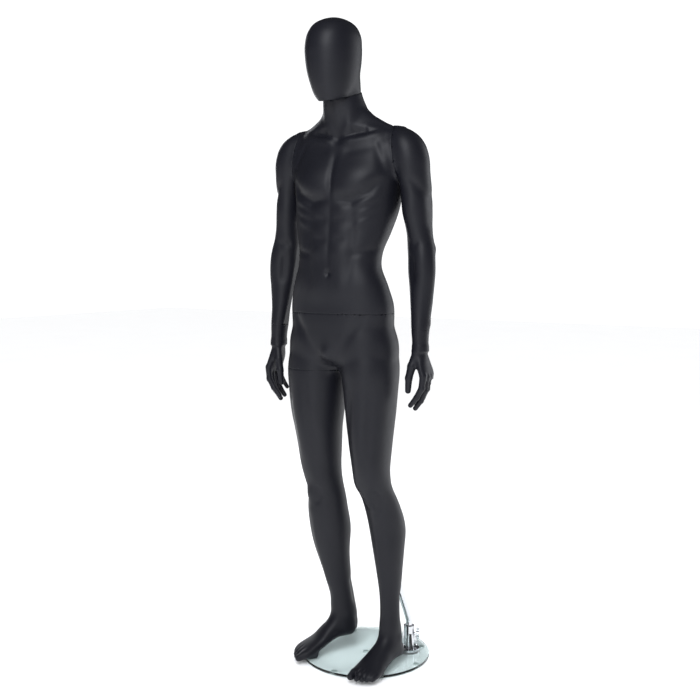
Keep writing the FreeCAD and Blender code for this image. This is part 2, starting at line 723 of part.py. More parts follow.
def torso_shell():
    low = WAIST_SEAM + UP * (SEAM_GAP / 2)
    cuts = [beyond(low, UP * -1), beyond(NECK_SEAM - NECK_NORMAL * (SEAM_GAP / 2), NECK_NORMAL)]
    inner = [
        beyond(low + UP * END_WALL, UP * -1),
        beyond(NECK_SEAM - NECK_NORMAL * (SEAM_GAP / 2 + END_WALL), NECK_NORMAL),
    ]
    for side in (1, -1):
        seam, normal = shoulder(side)
        cuts.append(beyond(seam - normal * (SEAM_GAP / 2), normal))
        inner.append(beyond(seam - normal * (SEAM_GAP / 2 + END_WALL), normal))
    outside = stack(TRUNK)
    for cut in cuts:
        outside = outside.cut(cut)
    room = stack(TRUNK, WALL)
    for cut in inner:
        room = room.cut(cut)
    shell = outside.cut(room)
    holes = stud_wall(WAIST_SEAM, UP, LARGE_FITTING)
    holes += socket_wall(NECK_SEAM, NECK_NORMAL, SMALL_FITTING)
    for side in (1, -1):
        seam, normal = shoulder(side)
        holes += socket_wall(seam, normal, SHOULDER_FITTING)
    for hole in holes:
        shell = shell.cut(hole)
    return one_solid(shell)


def head_shell():
    """Skull and nape above the neck seam, with a pocket for the stud's flange."""
    face = NECK_SEAM + NECK_NORMAL * (SEAM_GAP / 2)
    floor = face + NECK_NORMAL * END_WALL
    outside = stack(HEAD).cut(beyond(face, NECK_NORMAL * -1))
    room = stack(HEAD, WALL).cut(beyond(floor, NECK_NORMAL * -1))
    pocket = Part.makeCylinder(
        SMALL_FITTING["plate"] + PLATE_PLAY, NECK_POCKET_DEPTH, floor, NECK_NORMAL
    )
    shell = outside.cut(room).cut(pocket)
    for hole in stud_wall(NECK_SEAM, NECK_NORMAL, SMALL_FITTING):
        shell = shell.cut(hole)
    return one_solid(shell)


def wrist_socket(side):
    """Steel tube in the forearm that the hand's stud turns in."""
    seam, down = wrist(side)
    mouth = seam - down * (SEAM_GAP / 2)
    depth = WRIST_STUD_UP + SOCKET_END_GAP
    outer = WRIST_STUD_RADIUS + WRIST_PLAY + WRIST_SOCKET_WALL
    tube = Part.makeCylinder(outer, depth + WRIST_CAP, mouth, down * -1)
    return tube.cut(Part.makeCylinder(WRIST_STUD_RADIUS + WRIST_PLAY, depth, mouth, down * -1))


def wrist_stud(side):
    seam, down = wrist(side)
    top = seam - down * (SEAM_GAP / 2 + WRIST_STUD_UP)
    length = WRIST_STUD_UP + SEAM_GAP + WRIST_STUD_DOWN
    return Part.makeCylinder(WRIST_STUD_RADIUS, length, top, down)


def arm_shell(side):
    seam, normal = shoulder(side)
    cut_seam, down = wrist(side)
    hem = cut_seam - down * (SEAM_GAP / 2)
    outside = arm_outside(side).cut(arm_side_cut(side, SEAM_GAP / 2)).cut(beyond(hem, down))
    room = arm_outside(side, WALL).cut(arm_side_cut(side, SEAM_GAP / 2 + END_WALL))
    room = room.cut(beyond(hem - down * END_WALL, down))
    shell = outside.cut(room)
    for hole in stud_wall(seam, normal, SHOULDER_FITTING):
        shell = shell.cut(hole)
    tube = WRIST_STUD_RADIUS + WRIST_PLAY + WRIST_SOCKET_WALL + 0.05
    return one_solid(shell.cut(Part.makeCylinder(tube, END_WALL + 1, hem, down * -1)))


def hand_solid(side):
    seam, down = wrist(side)
    hem = seam + down * (SEAM_GAP / 2)
    forearm = arm_outside(side).cut(beyond(hem, down * -1))
    hand = fuse([forearm, hand_outside(side)])
    hole = Part.makeCylinder(WRIST_STUD_RADIUS + 0.05, WRIST_STUD_DOWN + 0.2, hem, down)
    return one_solid(hand.cut(hole))


# ---------------------------------------------------------------- write
os.makedirs("parts", exist_ok=True)
DOWN = UP * -1
LEFT_SEAM, LEFT_NORMAL = shoulder(1)
RIGHT_SEAM, RIGHT_NORMAL = shoulder(-1)

save("glass_disc", [glass_disc()])
save("bumper_pads", bumper_pads())
save("foot_gasket", [foot_gasket()])
save("base_fitting", [base_fitting()])
save("clamp_plate", [clamp_plate()])
save("base_screws", base_screws())
save("thumb_screw", [thumb_screw()])
save("calf_rod", [calf_rod()])

save("calf_socket", [calf_socket()])
save("hips_left_leg_shell", [hips_left_leg_shell()])
save("waist_socket_plate", [socket_plate(WAIST_SEAM, UP, LARGE_FITTING)])
save("thigh_socket_plate", [socket_plate(THIGH_SEAM, DOWN, LARGE_FITTING)])
save("hip_screws",
     seam_screws(WAIST_SEAM, UP, DOWN, LARGE_FITTING)
     + seam_screws(THIGH_SEAM, DOWN, UP, LARGE_FITTING))

save("right_leg_shell", [right_leg_shell()])
save("thigh_stud", [stud(THIGH_SEAM, DOWN, LARGE_FITTING)])
save("thigh_screws", seam_screws(THIGH_SEAM, DOWN, DOWN, LARGE_FITTING))

save("torso_shell", [torso_shell()])
save("waist_stud", [stud(WAIST_SEAM, UP, LARGE_FITTING)])
save("neck_socket_plate", [socket_plate(NECK_SEAM, NECK_NORMAL, SMALL_FITTING)])
save("left_shoulder_plate", [socket_plate(LEFT_SEAM, LEFT_NORMAL, SHOULDER_FITTING)])
save("right_shoulder_plate", [socket_plate(RIGHT_SEAM, RIGHT_NORMAL, SHOULDER_FITTING)])
save("torso_screws",
     seam_screws(WAIST_SEAM, UP, UP, LARGE_FITTING)
     + seam_screws(NECK_SEAM, NECK_NORMAL, NECK_NORMAL * -1, SMALL_FITTING)
     + seam_screws(LEFT_SEAM, LEFT_NORMAL, LEFT_NORMAL * -1, SHOULDER_FITTING)
     + seam_screws(RIGHT_SEAM, RIGHT_NORMAL, RIGHT_NORMAL * -1, SHOULDER_FITTING))

save("head_shell", [head_shell()])
save("head_stud", [stud(NECK_SEAM, NECK_NORMAL, SMALL_FITTING)])
save("head_screws", seam_screws(NECK_SEAM, NECK_NORMAL, NECK_NORMAL, SMALL_FITTING))

for label, side in (("left", 1), ("right", -1)):
    centre, out = shoulder(side)
    save(label + "_arm_shell", [arm_shell(side)])
    save(label + "_arm_stud", [stud(centre, out, SHOULDER_FITTING)])
    save(label + "_arm_screws", seam_screws(centre, out, out, SHOULDER_FITTING))
    save(label + "_wrist_socket", [wrist_socket(side)])
    save(label + "_hand", [hand_solid(side)])
    save(label + "_wrist_stud", [wrist_stud(side)])
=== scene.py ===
import math
import bpy
import bmesh
import numpy as np
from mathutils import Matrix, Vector


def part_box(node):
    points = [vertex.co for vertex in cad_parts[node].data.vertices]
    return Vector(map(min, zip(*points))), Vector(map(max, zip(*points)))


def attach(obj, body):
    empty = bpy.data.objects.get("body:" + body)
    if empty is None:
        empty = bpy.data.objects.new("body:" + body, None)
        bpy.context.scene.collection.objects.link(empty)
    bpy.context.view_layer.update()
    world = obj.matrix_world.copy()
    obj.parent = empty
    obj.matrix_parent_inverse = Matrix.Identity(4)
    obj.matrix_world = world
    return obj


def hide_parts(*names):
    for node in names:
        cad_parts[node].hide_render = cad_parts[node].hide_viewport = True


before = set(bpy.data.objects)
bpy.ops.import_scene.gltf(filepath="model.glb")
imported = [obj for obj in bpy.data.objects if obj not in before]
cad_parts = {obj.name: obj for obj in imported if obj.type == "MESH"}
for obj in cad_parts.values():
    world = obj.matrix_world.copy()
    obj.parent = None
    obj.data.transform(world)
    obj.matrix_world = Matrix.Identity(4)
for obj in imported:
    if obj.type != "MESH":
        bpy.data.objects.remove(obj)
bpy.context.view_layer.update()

# Full body retail mannequin. The sculpting below is in millimetres in the shared frame:
# +Z up, the figure faces -Y and its left side is +X. Meshes are made in metres.

# ---------------------------------------------------------------- body sections
# Rows run up each part: height, centre x, centre y, half width, depth to the front,
# depth to the back, squareness, turn about the vertical in degrees.
TRUNK = [
    (884, -8, -110, 100, 36, 56, 2.0, 0),
    (915, -8, -110, 140, 76, 92, 2.1, 0),
    (950, -9, -112, 156, 92, 110, 2.3, 0),
    (1000, -8, -116, 153, 95, 110, 2.3, 0),
    (1060, -6, -122, 154, 91, 103, 2.3, 0),
    (1110, -5, -129, 142, 88, 90, 2.25, 1),
    (1165, -5, -130, 121, 86, 75, 2.25, 3),
    (1200, -5, -126, 122, 88, 76, 2.25, 4),
    (1260, -5, -110, 137, 96, 86, 2.3, 5),
    (1320, -5, -94, 147, 106, 92, 2.4, 6),
    (1370, -5, -84, 151, 114, 94, 2.5, 6),
    (1420, -5, -82, 160, 108, 92, 2.5, 6),
    (1470, -5, -82, 167, 88, 84, 2.4, 6),
    (1500, -5, -84, 163, 75, 74, 2.3, 6),
    (1525, -5, -88, 138, 62, 62, 2.1, 6),
    (1550, -5, -100, 82, 56, 56, 2.0, 6),
    (1570, -5, -108, 61, 54, 55, 2.0, 6),
    (1595, -5, -113, 55, 58, 54, 2.0, 6),
    (1625, -6, -114, 52, 64, 50, 2.0, 5),
    (1672, -6, -112, 50, 70, 49, 2.0, 4),
]
LEFT_LEG = [
    (56, 112, -42, 20, 34, 24, 2.0, 0),
    (110, 111, -44, 30, 38, 38, 2.1, 0),
    (160, 110, -43, 29, 34, 36, 2.0, 0),
    (225, 108, -42, 30, 35, 37, 2.0, 0),
    (291, 105, -42, 37, 41, 44, 2.0, 0),
    (350, 102, -42, 44, 48, 51, 2.0, 0),
    (409, 98, -44, 50, 52, 57, 2.0, 0),
    (450, 96, -54, 51, 52, 57, 2.0, 0),
    (500, 92, -73, 50, 50, 52, 2.05, 0),
    (545, 88, -97, 48, 55, 50, 2.1, 0),
    (584, 87, -108, 50, 59, 53, 2.1, 0),
    (642, 86, -112, 56, 67, 60, 2.1, 0),
    (700, 85, -111, 62, 74, 67, 2.1, 0),
    (757, 84, -110, 68, 78, 77, 2.1, 0),
    (820, 83, -111, 73, 82, 86, 2.1, 0),
    (880, 81, -112, 76, 87, 99, 2.1, 0),
    (930, 76, -112, 73, 82, 100, 2.1, 0),
    (985, 66, -112, 56, 62, 80, 2.0, 0),
    (1030, 56, -112, 0, 0, 0, 2.0, 0),
]
RIGHT_LEG = [
    (84, -56, -18, 20, 36, 22, 2.0, -34),
    (112, -58, -21, 30, 42, 34, 2.1, -34),
    (140, -61, -25, 32, 42, 36, 2.1, -34),
    (180, -64, -30, 32, 38, 36, 2.0, -33),
    (225, -68, -40, 34, 40, 37, 2.0, -31),
    (291, -73, -54, 41, 47, 43, 2.0, -29),
    (350, -77, -66, 49, 54, 50, 2.0, -27),
    (409, -79, -76, 55, 59, 56, 2.0, -24),
    (450, -80, -82, 56, 60, 57, 2.0, -22),
    (500, -80, -88, 54, 57, 54, 2.05, -20),
    (545, -82, -96, 51, 57, 50, 2.1, -17),
    (584, -84, -104, 52, 59, 53, 2.1, -14),
    (642, -86, -112, 58, 67, 60, 2.1, -11),
    (700, -88, -117, 65, 74, 67, 2.1, -8),
    (757, -91, -116, 74, 83, 77, 2.1, -6),
    (820, -92, -114, 81, 88, 87, 2.1, -4),
    (880, -93, -112, 84, 90, 97, 2.1, -2),
    (930, -90, -112, 78, 84, 100, 2.1, 0),
    (985, -80, -112, 58, 62, 80, 2.0, 0),
    (1030, -66, -112, 0, 0, 0, 2.0, 0),
]
HEAD = [
    (1604, -5, -177, 0, 0, 0, 2.0, 0),
    (1608, -5, -175, 26, 34, 38, 2.0, 0),
    (1616, -5, -168, 38, 47, 52, 2.1, 0),
    (1632, -6, -164, 49, 59, 66, 2.1, 0),
    (1652, -6, -162, 56, 70, 77, 2.1, 0),
    (1684, -7, -162, 64, 79, 86, 2.1, 0),
    (1718, -7, -162, 69, 85, 91, 2.1, 0),
    (1758, -7, -161, 70, 88, 92, 2.1, 0),
    (1794, -7, -157, 64.5, 80, 84, 2.1, 0),
    (1818, -7, -154, 50, 61, 64, 2.05, 0),
    (1831, -7, -152, 27, 33, 35, 2.0, 0),
    (1836, -7, -152, 0, 0, 0, 2.0, 0),
]
HEAD_TOP_Z = 1836
CROWN_ROOM = 0.5
# The back of the neck as it runs up inside the head.
NAPE = [
    (1595, -5, -113, 56, 54, 55, 2.0, 6),
    (1625, -6, -114, 52, 52, 50, 2.0, 5),
    (1672, -6, -116, 46, 50, 46, 2.0, 4),
    (1705, -6, -122, 34, 40, 34, 2.0, 4),
]
# Arm sections are measured from the chest mid-plane, outwards and backwards.
ARM = [
    (935, 226, -17, 22, 27, 27, 2.0, 0),
    (965, 225, -16, 22, 27, 27, 2.0, 0),
    (990, 224, -14, 24, 29, 29, 2.0, 0),
    (1040, 223, -7, 27, 31, 31, 2.0, -15),
    (1100, 222, 1, 34, 34, 34, 2.0, -33),
    (1150, 219, 7, 41, 35, 35, 2.0, -33),
    (1200, 217, 8, 39, 36, 36, 2.0, -33),
    (1250, 211, 10, 34, 40, 40, 2.0, -10),
    (1310, 201, 15, 40, 50, 51, 2.0, 0),
    (1370, 196, 15, 41, 55, 56, 2.0, 0),
    (1420, 189, 8, 46, 58, 58, 2.0, 0),
    (1465, 181, 5, 52, 60, 58, 2.0, 0),
    (1500, 173, 4, 48, 55, 53, 2.0, 0),
    (1525, 166, 4, 34, 40, 38, 2.0, 0),
    (1538, 160, 4, 17, 21, 21, 2.0, 0),
    (1542, 158, 4, 0, 0, 0, 2.0, 0),
]
# Foot sections run forward from the heel: distance, height of centre, half width,
# depth below the centre, depth above it, squareness.
LEFT_FOOT = [
    (-2, 41, 0, 0, 0, 2.0),
    (8, 42, 20, 14, 20, 2.1),
    (28, 44, 29, 15, 30, 2.2),
    (60, 46, 31, 16, 50, 2.1),
    (95, 40, 34, 15, 50, 2.1),
    (130, 32, 38, 16, 38, 2.2),
    (165, 26, 41, 14, 22, 2.4),
    (182, 23, 40, 11, 16, 2.4),
    (196, 21, 30, 8, 10, 2.2),
    (203, 20, 0, 0, 0, 2.0),
]
RIGHT_FOOT = [
    (-2, 82, 0, 0, 0, 2.0),
    (8, 80, 22, 20, 24, 2.1),
    (28, 78, 30, 20, 30, 2.2),
    (58, 74, 31, 18, 46, 2.1),
    (90, 62, 33, 20, 38, 2.1),
    (120, 46, 36, 20, 25, 2.2),
    (150, 31, 41, 16, 22, 2.4),
    (167, 26, 40, 14, 17, 2.4),
    (180, 22, 30, 9, 11, 2.2),
    (187, 21, 0, 0, 0, 2.0),
]
# Each foot: its heel, the turn of its toes in degrees, and its length.
LEFT_HEEL = (114, 6)
LEFT_FOOT_TURN = -3
LEFT_FOOT_LENGTH = 222
RIGHT_HEEL = (-42, -4)
RIGHT_FOOT_TURN = -33
RIGHT_FOOT_LENGTH = 200
SOLE_Z = 11.6
# Toes from the inner side outwards: sideways place, length short of the tip, radius.
TOES = [(-27, 0, 11.5), (-8, 4, 9.2), (7, 9, 8.6), (20, 17, 8.0), (31, 27, 7.4)]

# Hand sections hang from the wrist: distance below it, across, behind, half width,
# thickness over the back, thickness over the palm, squareness.
PALM = [
    (0, 0, 0, 22, 17, 17, 2.0),
    (20, 0, -2, 25, 17, 17, 2.1),
    (45, 2, -8, 35, 15, 17, 2.3),
    (70, 3, -16, 39, 13, 14, 2.4),
    (90, 3, -20, 35, 9, 10, 2.4),
]
# Each finger is a chain of joints: across, behind, distance below the wrist, radius.
FINGERS = [
    [(-27, -20, 78, 9.5), (-28, -16, 112, 8.8), (-28, -1, 138, 8.0), (-27, 17, 160, 6.8)],
    [(-9, -22, 82, 9.5), (-9, -18, 120, 8.8), (-9, -6, 148, 8.0), (-9, 10, 170, 6.8)],
    [(9, -21, 80, 9.3), (9, -16, 116, 8.6), (9, -3, 142, 7.8), (8, 13, 162, 6.6)],
    [(26, -18, 76, 8.5), (27, -12, 104, 7.6), (26, -1, 124, 6.8), (25, 12, 140, 5.8)],
]
THUMB = [(-16, 6, 22, 12.5), (-26, 14, 52, 12.0), (-30, 21, 84, 10.0), (-28, 24, 120, 8.0)]
# Where a hand hangs from: height, distance out and distance back from the chest mid-plane.
HAND_TOP_Z = 946
HAND_REACH = 225.5
HAND_BACK = -16.5

# ---------------------------------------------------------------- seams
# The chest is turned on the hips by CHEST_TURN degrees about this upright line.
MIDLINE_X = -5
SPINE_Y = -82
CHEST_TURN = 6
# Each side of a seam stands back by this much.
HALF_GAP = 0.3
WRIST_GAP = 0.1
WAIST_Z = 1036
THIGH_Z = 875
LEG_SPLIT_X = -2
WRIST_Z = 992
NECK_SEAM = (-6, -118, 1634)
NECK_TILT = 16
# The shoulder seam's middle, from the chest mid-plane, and its lean in degrees.
SHOULDER_REACH = 156
SHOULDER_BACK = 4
SHOULDER_Z = 1452
SHOULDER_TILT = 8
# Between these radii the shoulder seam steps inwards by ARM_INSET.
ARM_INSET = 17
FACE_INNER = 86
FACE_OUTER = 108


def turned(x, y, z):
    """A place measured from the chest mid-plane, in the shared frame."""
    a = math.radians(CHEST_TURN)
    return (MIDLINE_X + x * math.cos(a) - y * math.sin(a),
            SPINE_Y + x * math.sin(a) + y * math.cos(a), z)


def unturned(p):
    """Points of the shared frame measured from the chest mid-plane."""
    a = math.radians(CHEST_TURN)
    dx = p[:, 0] - MIDLINE_X
    dy = p[:, 1] - SPINE_Y
    return np.stack([dx * math.cos(a) + dy * math.sin(a),
                     dy * math.cos(a) - dx * math.sin(a), p[:, 2]], 1)


# ---------------------------------------------------------------- implicit forms
def hermite(t, ts, vs):
    """Smooth curve through values at uneven stations."""
    h = np.diff(ts)
    d = np.diff(vs, axis=0) / h[:, None]
    m = np.empty_like(vs)
    m[1:-1] = (d[:-1] * h[1:, None] + d[1:] * h[:-1, None]) / (h[1:] + h[:-1])[:, None]
    m[0], m[-1] = d[0], d[-1]
    i = np.clip(np.searchsorted(ts, t, side="right") - 1, 0, len(h) - 1)
    s = ((t - ts[i]) / h[i])[:, None]
    w = h[i][:, None]
    return ((2 * s ** 3 - 3 * s ** 2 + 1) * vs[i] + (s ** 3 - 2 * s ** 2 + s) * w * m[i]
            + (3 * s ** 2 - 2 * s ** 3) * vs[i + 1] + (s ** 3 - s ** 2) * w * m[i + 1])


# The slope of a section's side is allowed for up to FAR_FROM_SURFACE away from it.
# Sections narrower than TIP_WIDTH use a smoother measure, which closes a tip without a point.
FAR_FROM_SURFACE = 25
TIP_WIDTH = 19
LEAST_SQUARED_WIDTH = 0.01
NOT_ZERO = 1e-6
# A distance longer than any in the figure, and the power past which a swell is nothing.
FAR_AWAY = 1e9
FADED_OUT = 30


class Loft:
    """Signed distance to a stack of sections, roughly. Widths are blended as squares, so an
    end row of no width closes the stack with a round tip. soften is in mm of height."""

    def __init__(self, rows, soften=0):
        rows = np.asarray(sorted(rows), float)
        self.low, self.high = rows[0, 0], rows[-1, 0]
        z = np.arange(self.low, self.high + 1.0, 1.0)
        values = rows[:, 1:].copy()
        values[:, 2:5] = values[:, 2:5] ** 2
        table = hermite(np.clip(z, self.low, self.high), rows[:, 0], values)
        if soften:
            k = np.exp(-0.5 * (np.arange(-3 * soften, 3 * soften + 1) / soften) ** 2)
            k /= k.sum()
            for c in range(table.shape[1]):
                column = table[:, c]
                before = 2 * column[0] - column[3 * soften:0:-1]
                after = 2 * column[-1] - column[-2:-3 * soften - 2:-1]
                table[:, c] = np.convolve(np.concatenate([before, column, after]), k, "valid")
        table[:, 2:5] = np.maximum(table[:, 2:5], LEAST_SQUARED_WIDTH)
        slope = np.gradient(np.sqrt(table[:, 2:5]).mean(1))
        self.table = np.column_stack([table, 1 / np.sqrt(1 + slope ** 2)])

    def sections(self, p):
        """The section level with each point, and the point's place in it."""
        z = np.clip(p[:, 2] - self.low, 0, len(self.table) - 1.001)
        i = z.astype(int)
        f = (z - i)[:, None]
        c = self.table[i] * (1 - f) + self.table[i + 1] * f
        a = np.radians(c[:, 6])
        dx, dy = p[:, 0] - c[:, 0], p[:, 1] - c[:, 1]
        return c, dx * np.cos(a) + dy * np.sin(a), dy * np.cos(a) - dx * np.sin(a)

    def local(self, p):
        """Points measured from the middle of the section they are level with."""
        _, dx, dy = self.sections(p)
        return np.stack([dx, dy, p[:, 2]], 1)

    def __call__(self, p):
        c, dx, dy = self.sections(p)
        width = np.sqrt(c[:, 2])
        depth = np.sqrt(np.where(dy < 0, c[:, 3], c[:, 4]))
        n = c[:, 5]
        q = ((np.abs(dx) / width) ** n + (np.abs(dy) / depth) ** n) ** (1 / n)
        d = np.hypot(dx, dy) * (1 - 1 / np.maximum(q, NOT_ZERO))
        d = d * (c[:, 7] + (1 - c[:, 7]) * np.clip(d / FAR_FROM_SURFACE, 0, 1))
        d = np.where(width < TIP_WIDTH, (q * q - 1) * c[:, 2] / (2 * TIP_WIDTH), d)
        over = np.maximum(p[:, 2] - self.high, self.low - p[:, 2])
        return np.where(over > 0, np.hypot(np.maximum(d, 0), over), np.maximum(d, over))


def blend(a, b, k):
    """Union of two forms with a fillet about k wide."""
    h = np.clip(0.5 + 0.5 * (b - a) / k, 0, 1)
    return b * (1 - h) + a * h - k * h * (1 - h)


def fade(t, start, end):
    """0 before start, 1 after end."""
    s = np.clip((t - start) / (end - start), 0, 1)
    return s * s * (3 - 2 * s)


def bone(p, a, b, ra, rb):
    """Rounded cone from place a of radius ra to place b of radius rb."""
    a, b = np.asarray(a, float), np.asarray(b, float)
    ab = b - a
    t = np.clip(((p - a) @ ab) / (ab @ ab), 0, 1)
    return np.linalg.norm(p - a - t[:, None] * ab, axis=1) - (ra + (rb - ra) * t)


def swell(p, at, size, rise, roll=0.0):
    """Soft lump to take off a distance: sizes run sideways, in depth and upwards, and
    roll leans the sideways axis up by so many degrees."""
    r = math.radians(roll)
    dx, dz = p[:, 0] - at[0], p[:, 2] - at[2]
    u = dx * math.cos(r) + dz * math.sin(r)
    v = dz * math.cos(r) - dx * math.sin(r)
    e = (u / size[0]) ** 2 + ((p[:, 1] - at[1]) / size[1]) ** 2 + (v / size[2]) ** 2
    return rise * np.exp(-np.minimum(e, FADED_OUT))


def crease(p, path, width, depth, loose=0.35, ease=0.25):
    """Soft groove along a path that shallows out at both ends. Depth into the body counts
    for less than its course, by loose. Ease is the share of its length that an end fades
    over. A negative depth makes a ridge."""
    best = np.full(len(p), FAR_AWAY)
    place = np.zeros(len(p))
    scale = np.array([1.0, loose, 1.0])
    corners = np.asarray(path, float) * scale
    lengths = np.linalg.norm(np.diff(corners, axis=0), axis=1)
    run = 0.0
    for a, b, length in zip(corners, corners[1:], lengths):
        q = p * scale - a
        t = np.clip((q @ (b - a)) / length ** 2, 0, 1)
        away = ((q - t[:, None] * (b - a)) ** 2).sum(1)
        nearer = away < best
        best = np.where(nearer, away, best)
        place = np.where(nearer, (run + t * length) / lengths.sum(), place)
        run += length
    depth = depth * fade(np.minimum(place, 1 - place), -0.08, ease)
    return depth * np.exp(-np.minimum(best / width ** 2, FADED_OUT))


def both(p):
    """The same points folded onto the left half of the chest or pelvis."""
    q = p.copy()
    q[:, 0] = np.abs(q[:, 0])
    return q


# ---------------------------------------------------------------- muscles and joints
def trunk_detail(p):
    """Chest, belly, back and neck forms. A swell is taken off the distance to raise the
    surface, or added to hollow it; a crease is added to cut a groove."""
    c = unturned(p)
    q = both(c)
    # Chest muscles, the fold under them and the line between them.
    d = -swell(q, (70, -100, 1402), (62, 60, 42), 15)
    d -= swell(q, (40, -100, 1375), (34, 50, 24), 5)
    under_chest = [(8, -110, 1350), (58, -112, 1342), (104, -90, 1368), (136, -60, 1410)]
    d += crease(q, under_chest, 14, 8.5)
    d += crease(c, [(0, -115, 1350), (0, -100, 1480)], 10, 5)
    # The fold before the arm, then the collarbones with the hollows around them.
    d += crease(q, [(104, -60, 1512), (122, -60, 1462), (140, -55, 1410)], 11, 5)
    collarbone = [(8, -90, 1500), (40, -84, 1508), (84, -70, 1516), (128, -50, 1525)]
    over_collarbone = [(4, -92, 1516), (40, -82, 1524), (84, -66, 1531), (112, -52, 1536)]
    d -= crease(q, collarbone, 11, 5, 0.25)
    d += crease(q, over_collarbone, 6, 5, 0.25)
    d += crease(q, [(20, -84, 1474), (64, -80, 1482), (118, -60, 1494)], 14, 3.5, 0.25)
    d += crease(q, [(36, -60, 1527), (84, -55, 1536)], 13, 5)
    # The pit of the neck, its two cords, the hollows beside them and the throat.
    d += swell(c, (0, -92, 1510), (14, 40, 13), 7)
    d -= crease(q, [(48, -26, 1640), (36, -60, 1570), (11, -84, 1504)], 13, 3)
    d += crease(q, [(20, -80, 1600), (12, -84, 1535)], 12, 1)
    d += crease(q, [(54, -16, 1610), (46, -40, 1545)], 18, 2.5)
    d -= swell(c, (0, -88, 1582), (10, 30, 18), 2)
    # Belly muscles in three rows, with the lines between them and down their sides.
    for z, rise in ((1314, 3.5), (1262, 3), (1208, 3)):
        d -= swell(q, (31, -125, z), (23, 60, 21), rise)
    d += crease(c, [(0, -130, 1345), (0, -130, 1150)], 8, 2)
    for z in (1288, 1235):
        d += crease(q, [(4, -130, z), (52, -125, z + 5)], 9, 1.4, 0.35, 0.4)
    belly_side = [(62, -105, 1330), (66, -105, 1260), (64, -110, 1180), (52, -115, 1090)]
    d += crease(q, belly_side, 13, 3)
    # Ribs, flank, the crease above the flank, navel and lower belly.
    for step, z in enumerate((1338, 1310, 1282)):
        x = 94 - 5 * step
        d -= swell(q, (x, -85, z), (27, 40, 10), 4, 24)
    d -= swell(q, (104, -85, 1140), (30, 60, 44), 3)
    d += crease(q, [(60, -130, 1196), (96, -112, 1204), (122, -70, 1214)], 10, 3)
    d += swell(c, (0, -135, 1146), (7, 40, 9), 6)
    d -= swell(q, (36, -130, 1100), (30, 50, 50), 3)
    # Spine with a ridge each side, shoulder blades and their lower edge, back and nape.
    d += crease(c, [(0, 90, 1080), (0, 90, 1510)], 15, 7)
    d -= swell(q, (28, 60, 1130), (20, 50, 80), 5)
    d -= swell(q, (72, 84, 1430), (44, 50, 48), 7)
    d += crease(q, [(30, 88, 1368), (84, 82, 1360), (118, 50, 1400)], 14, 4)
    d -= swell(q, (118, 40, 1350), (30, 60, 70), 7)
    d -= swell(q, (34, 70, 1520), (30, 40, 36), 6)
    return d


def pelvis_detail(p):
    """Hip lines, seat and groin."""
    q = p - np.array([MIDLINE_X, 0, 0])
    m = both(q)
    hip_line = [(136, -150, 1096), (104, -190, 1024), (62, -210, 958), (38, -215, 915)]
    d = crease(m, hip_line, 14, 4.5)
    d -= swell(m, (122, -160, 1080), (20, 40, 24), 5, -40)
    d -= swell(q, (0, -208, 915), (27, 40, 30), 19)
    # Seat, the cleft in it and the fold below, then the hollow and swell of each hip.
    d -= swell(m, (74, -10, 935), (56, 50, 60), 15)
    d += crease(q, [(0, -5, 1010), (0, 0, 880)], 13, 15)
    d += crease(m, [(20, -15, 872), (74, -8, 862), (130, -40, 880)], 14, 8)
    d += swell(m, (132, -50, 965), (24, 40, 44), 3)
    d -= swell(m, (150, -110, 905), (30, 44, 46), 3)
    return d


def leg_detail(q):
    """Thigh, knee, calf and ankle forms about a leg's own centre line."""
    # Kneecap with its side grooves and the swells around it.
    d = -swell(q, (0, -50, 506), (20, 26, 24), 10)
    d += crease(q, [(-27, -36, 540), (-26, -40, 505), (-16, -42, 476)], 10, 5)
    d += crease(q, [(27, -36, 540), (26, -40, 505), (16, -42, 476)], 10, 5)
    d -= swell(q, (0, -46, 458), (12, 25, 20), 2.5)
    d -= swell(q, (-28, -34, 556), (19, 30, 32), 5)
    d -= swell(q, (28, -38, 590), (20, 32, 52), 6)
    # Front, side and back of the thigh, and the hollow of the knee.
    d -= swell(q, (0, -70, 700), (26, 40, 110), 4)
    d += crease(q, [(22, -58, 600), (34, -62, 740), (46, -60, 850)], 12, 3)
    d += crease(q, [(-26, -52, 590), (-34, -55, 690), (-12, -84, 850)], 12, 3)
    d += crease(q, [(50, 8, 560), (62, 6, 700), (72, 4, 820)], 15, 4)
    d -= swell(q, (-24, 50, 680), (22, 30, 95), 4)
    d -= swell(q, (26, 48, 680), (22, 30, 95), 4)
    d += crease(q, [(0, 62, 560), (0, 70, 780)], 11, 4)
    d += crease(q, [(-22, 52, 512), (22, 52, 512)], 16, 4)
    # The two calf muscles, the line between them, and the shin.
    d -= swell(q, (-25, 42, 398), (21, 30, 52), 7)
    d -= swell(q, (24, 40, 414), (19, 30, 46), 6)
    d += crease(q, [(0, 56, 330), (0, 62, 430)], 9, 4)
    d -= crease(q, [(-8, -48, 450), (-6, -42, 300), (-2, -36, 180)], 9, 3)
    d -= swell(q, (20, -34, 360), (16, 25, 70), 4)
    # Hollows beside the heel cord, and the ankle bones.
    d += crease(q, [(-16, 20, 118), (-17, 24, 240)], 10, 5)
    d += crease(q, [(17, 20, 112), (18, 24, 240)], 10, 5)
    d -= swell(q, (-28, 2, 100), (13, 16, 14), 5)
    d -= swell(q, (29, 8, 90), (13, 16, 14), 5)
    return d


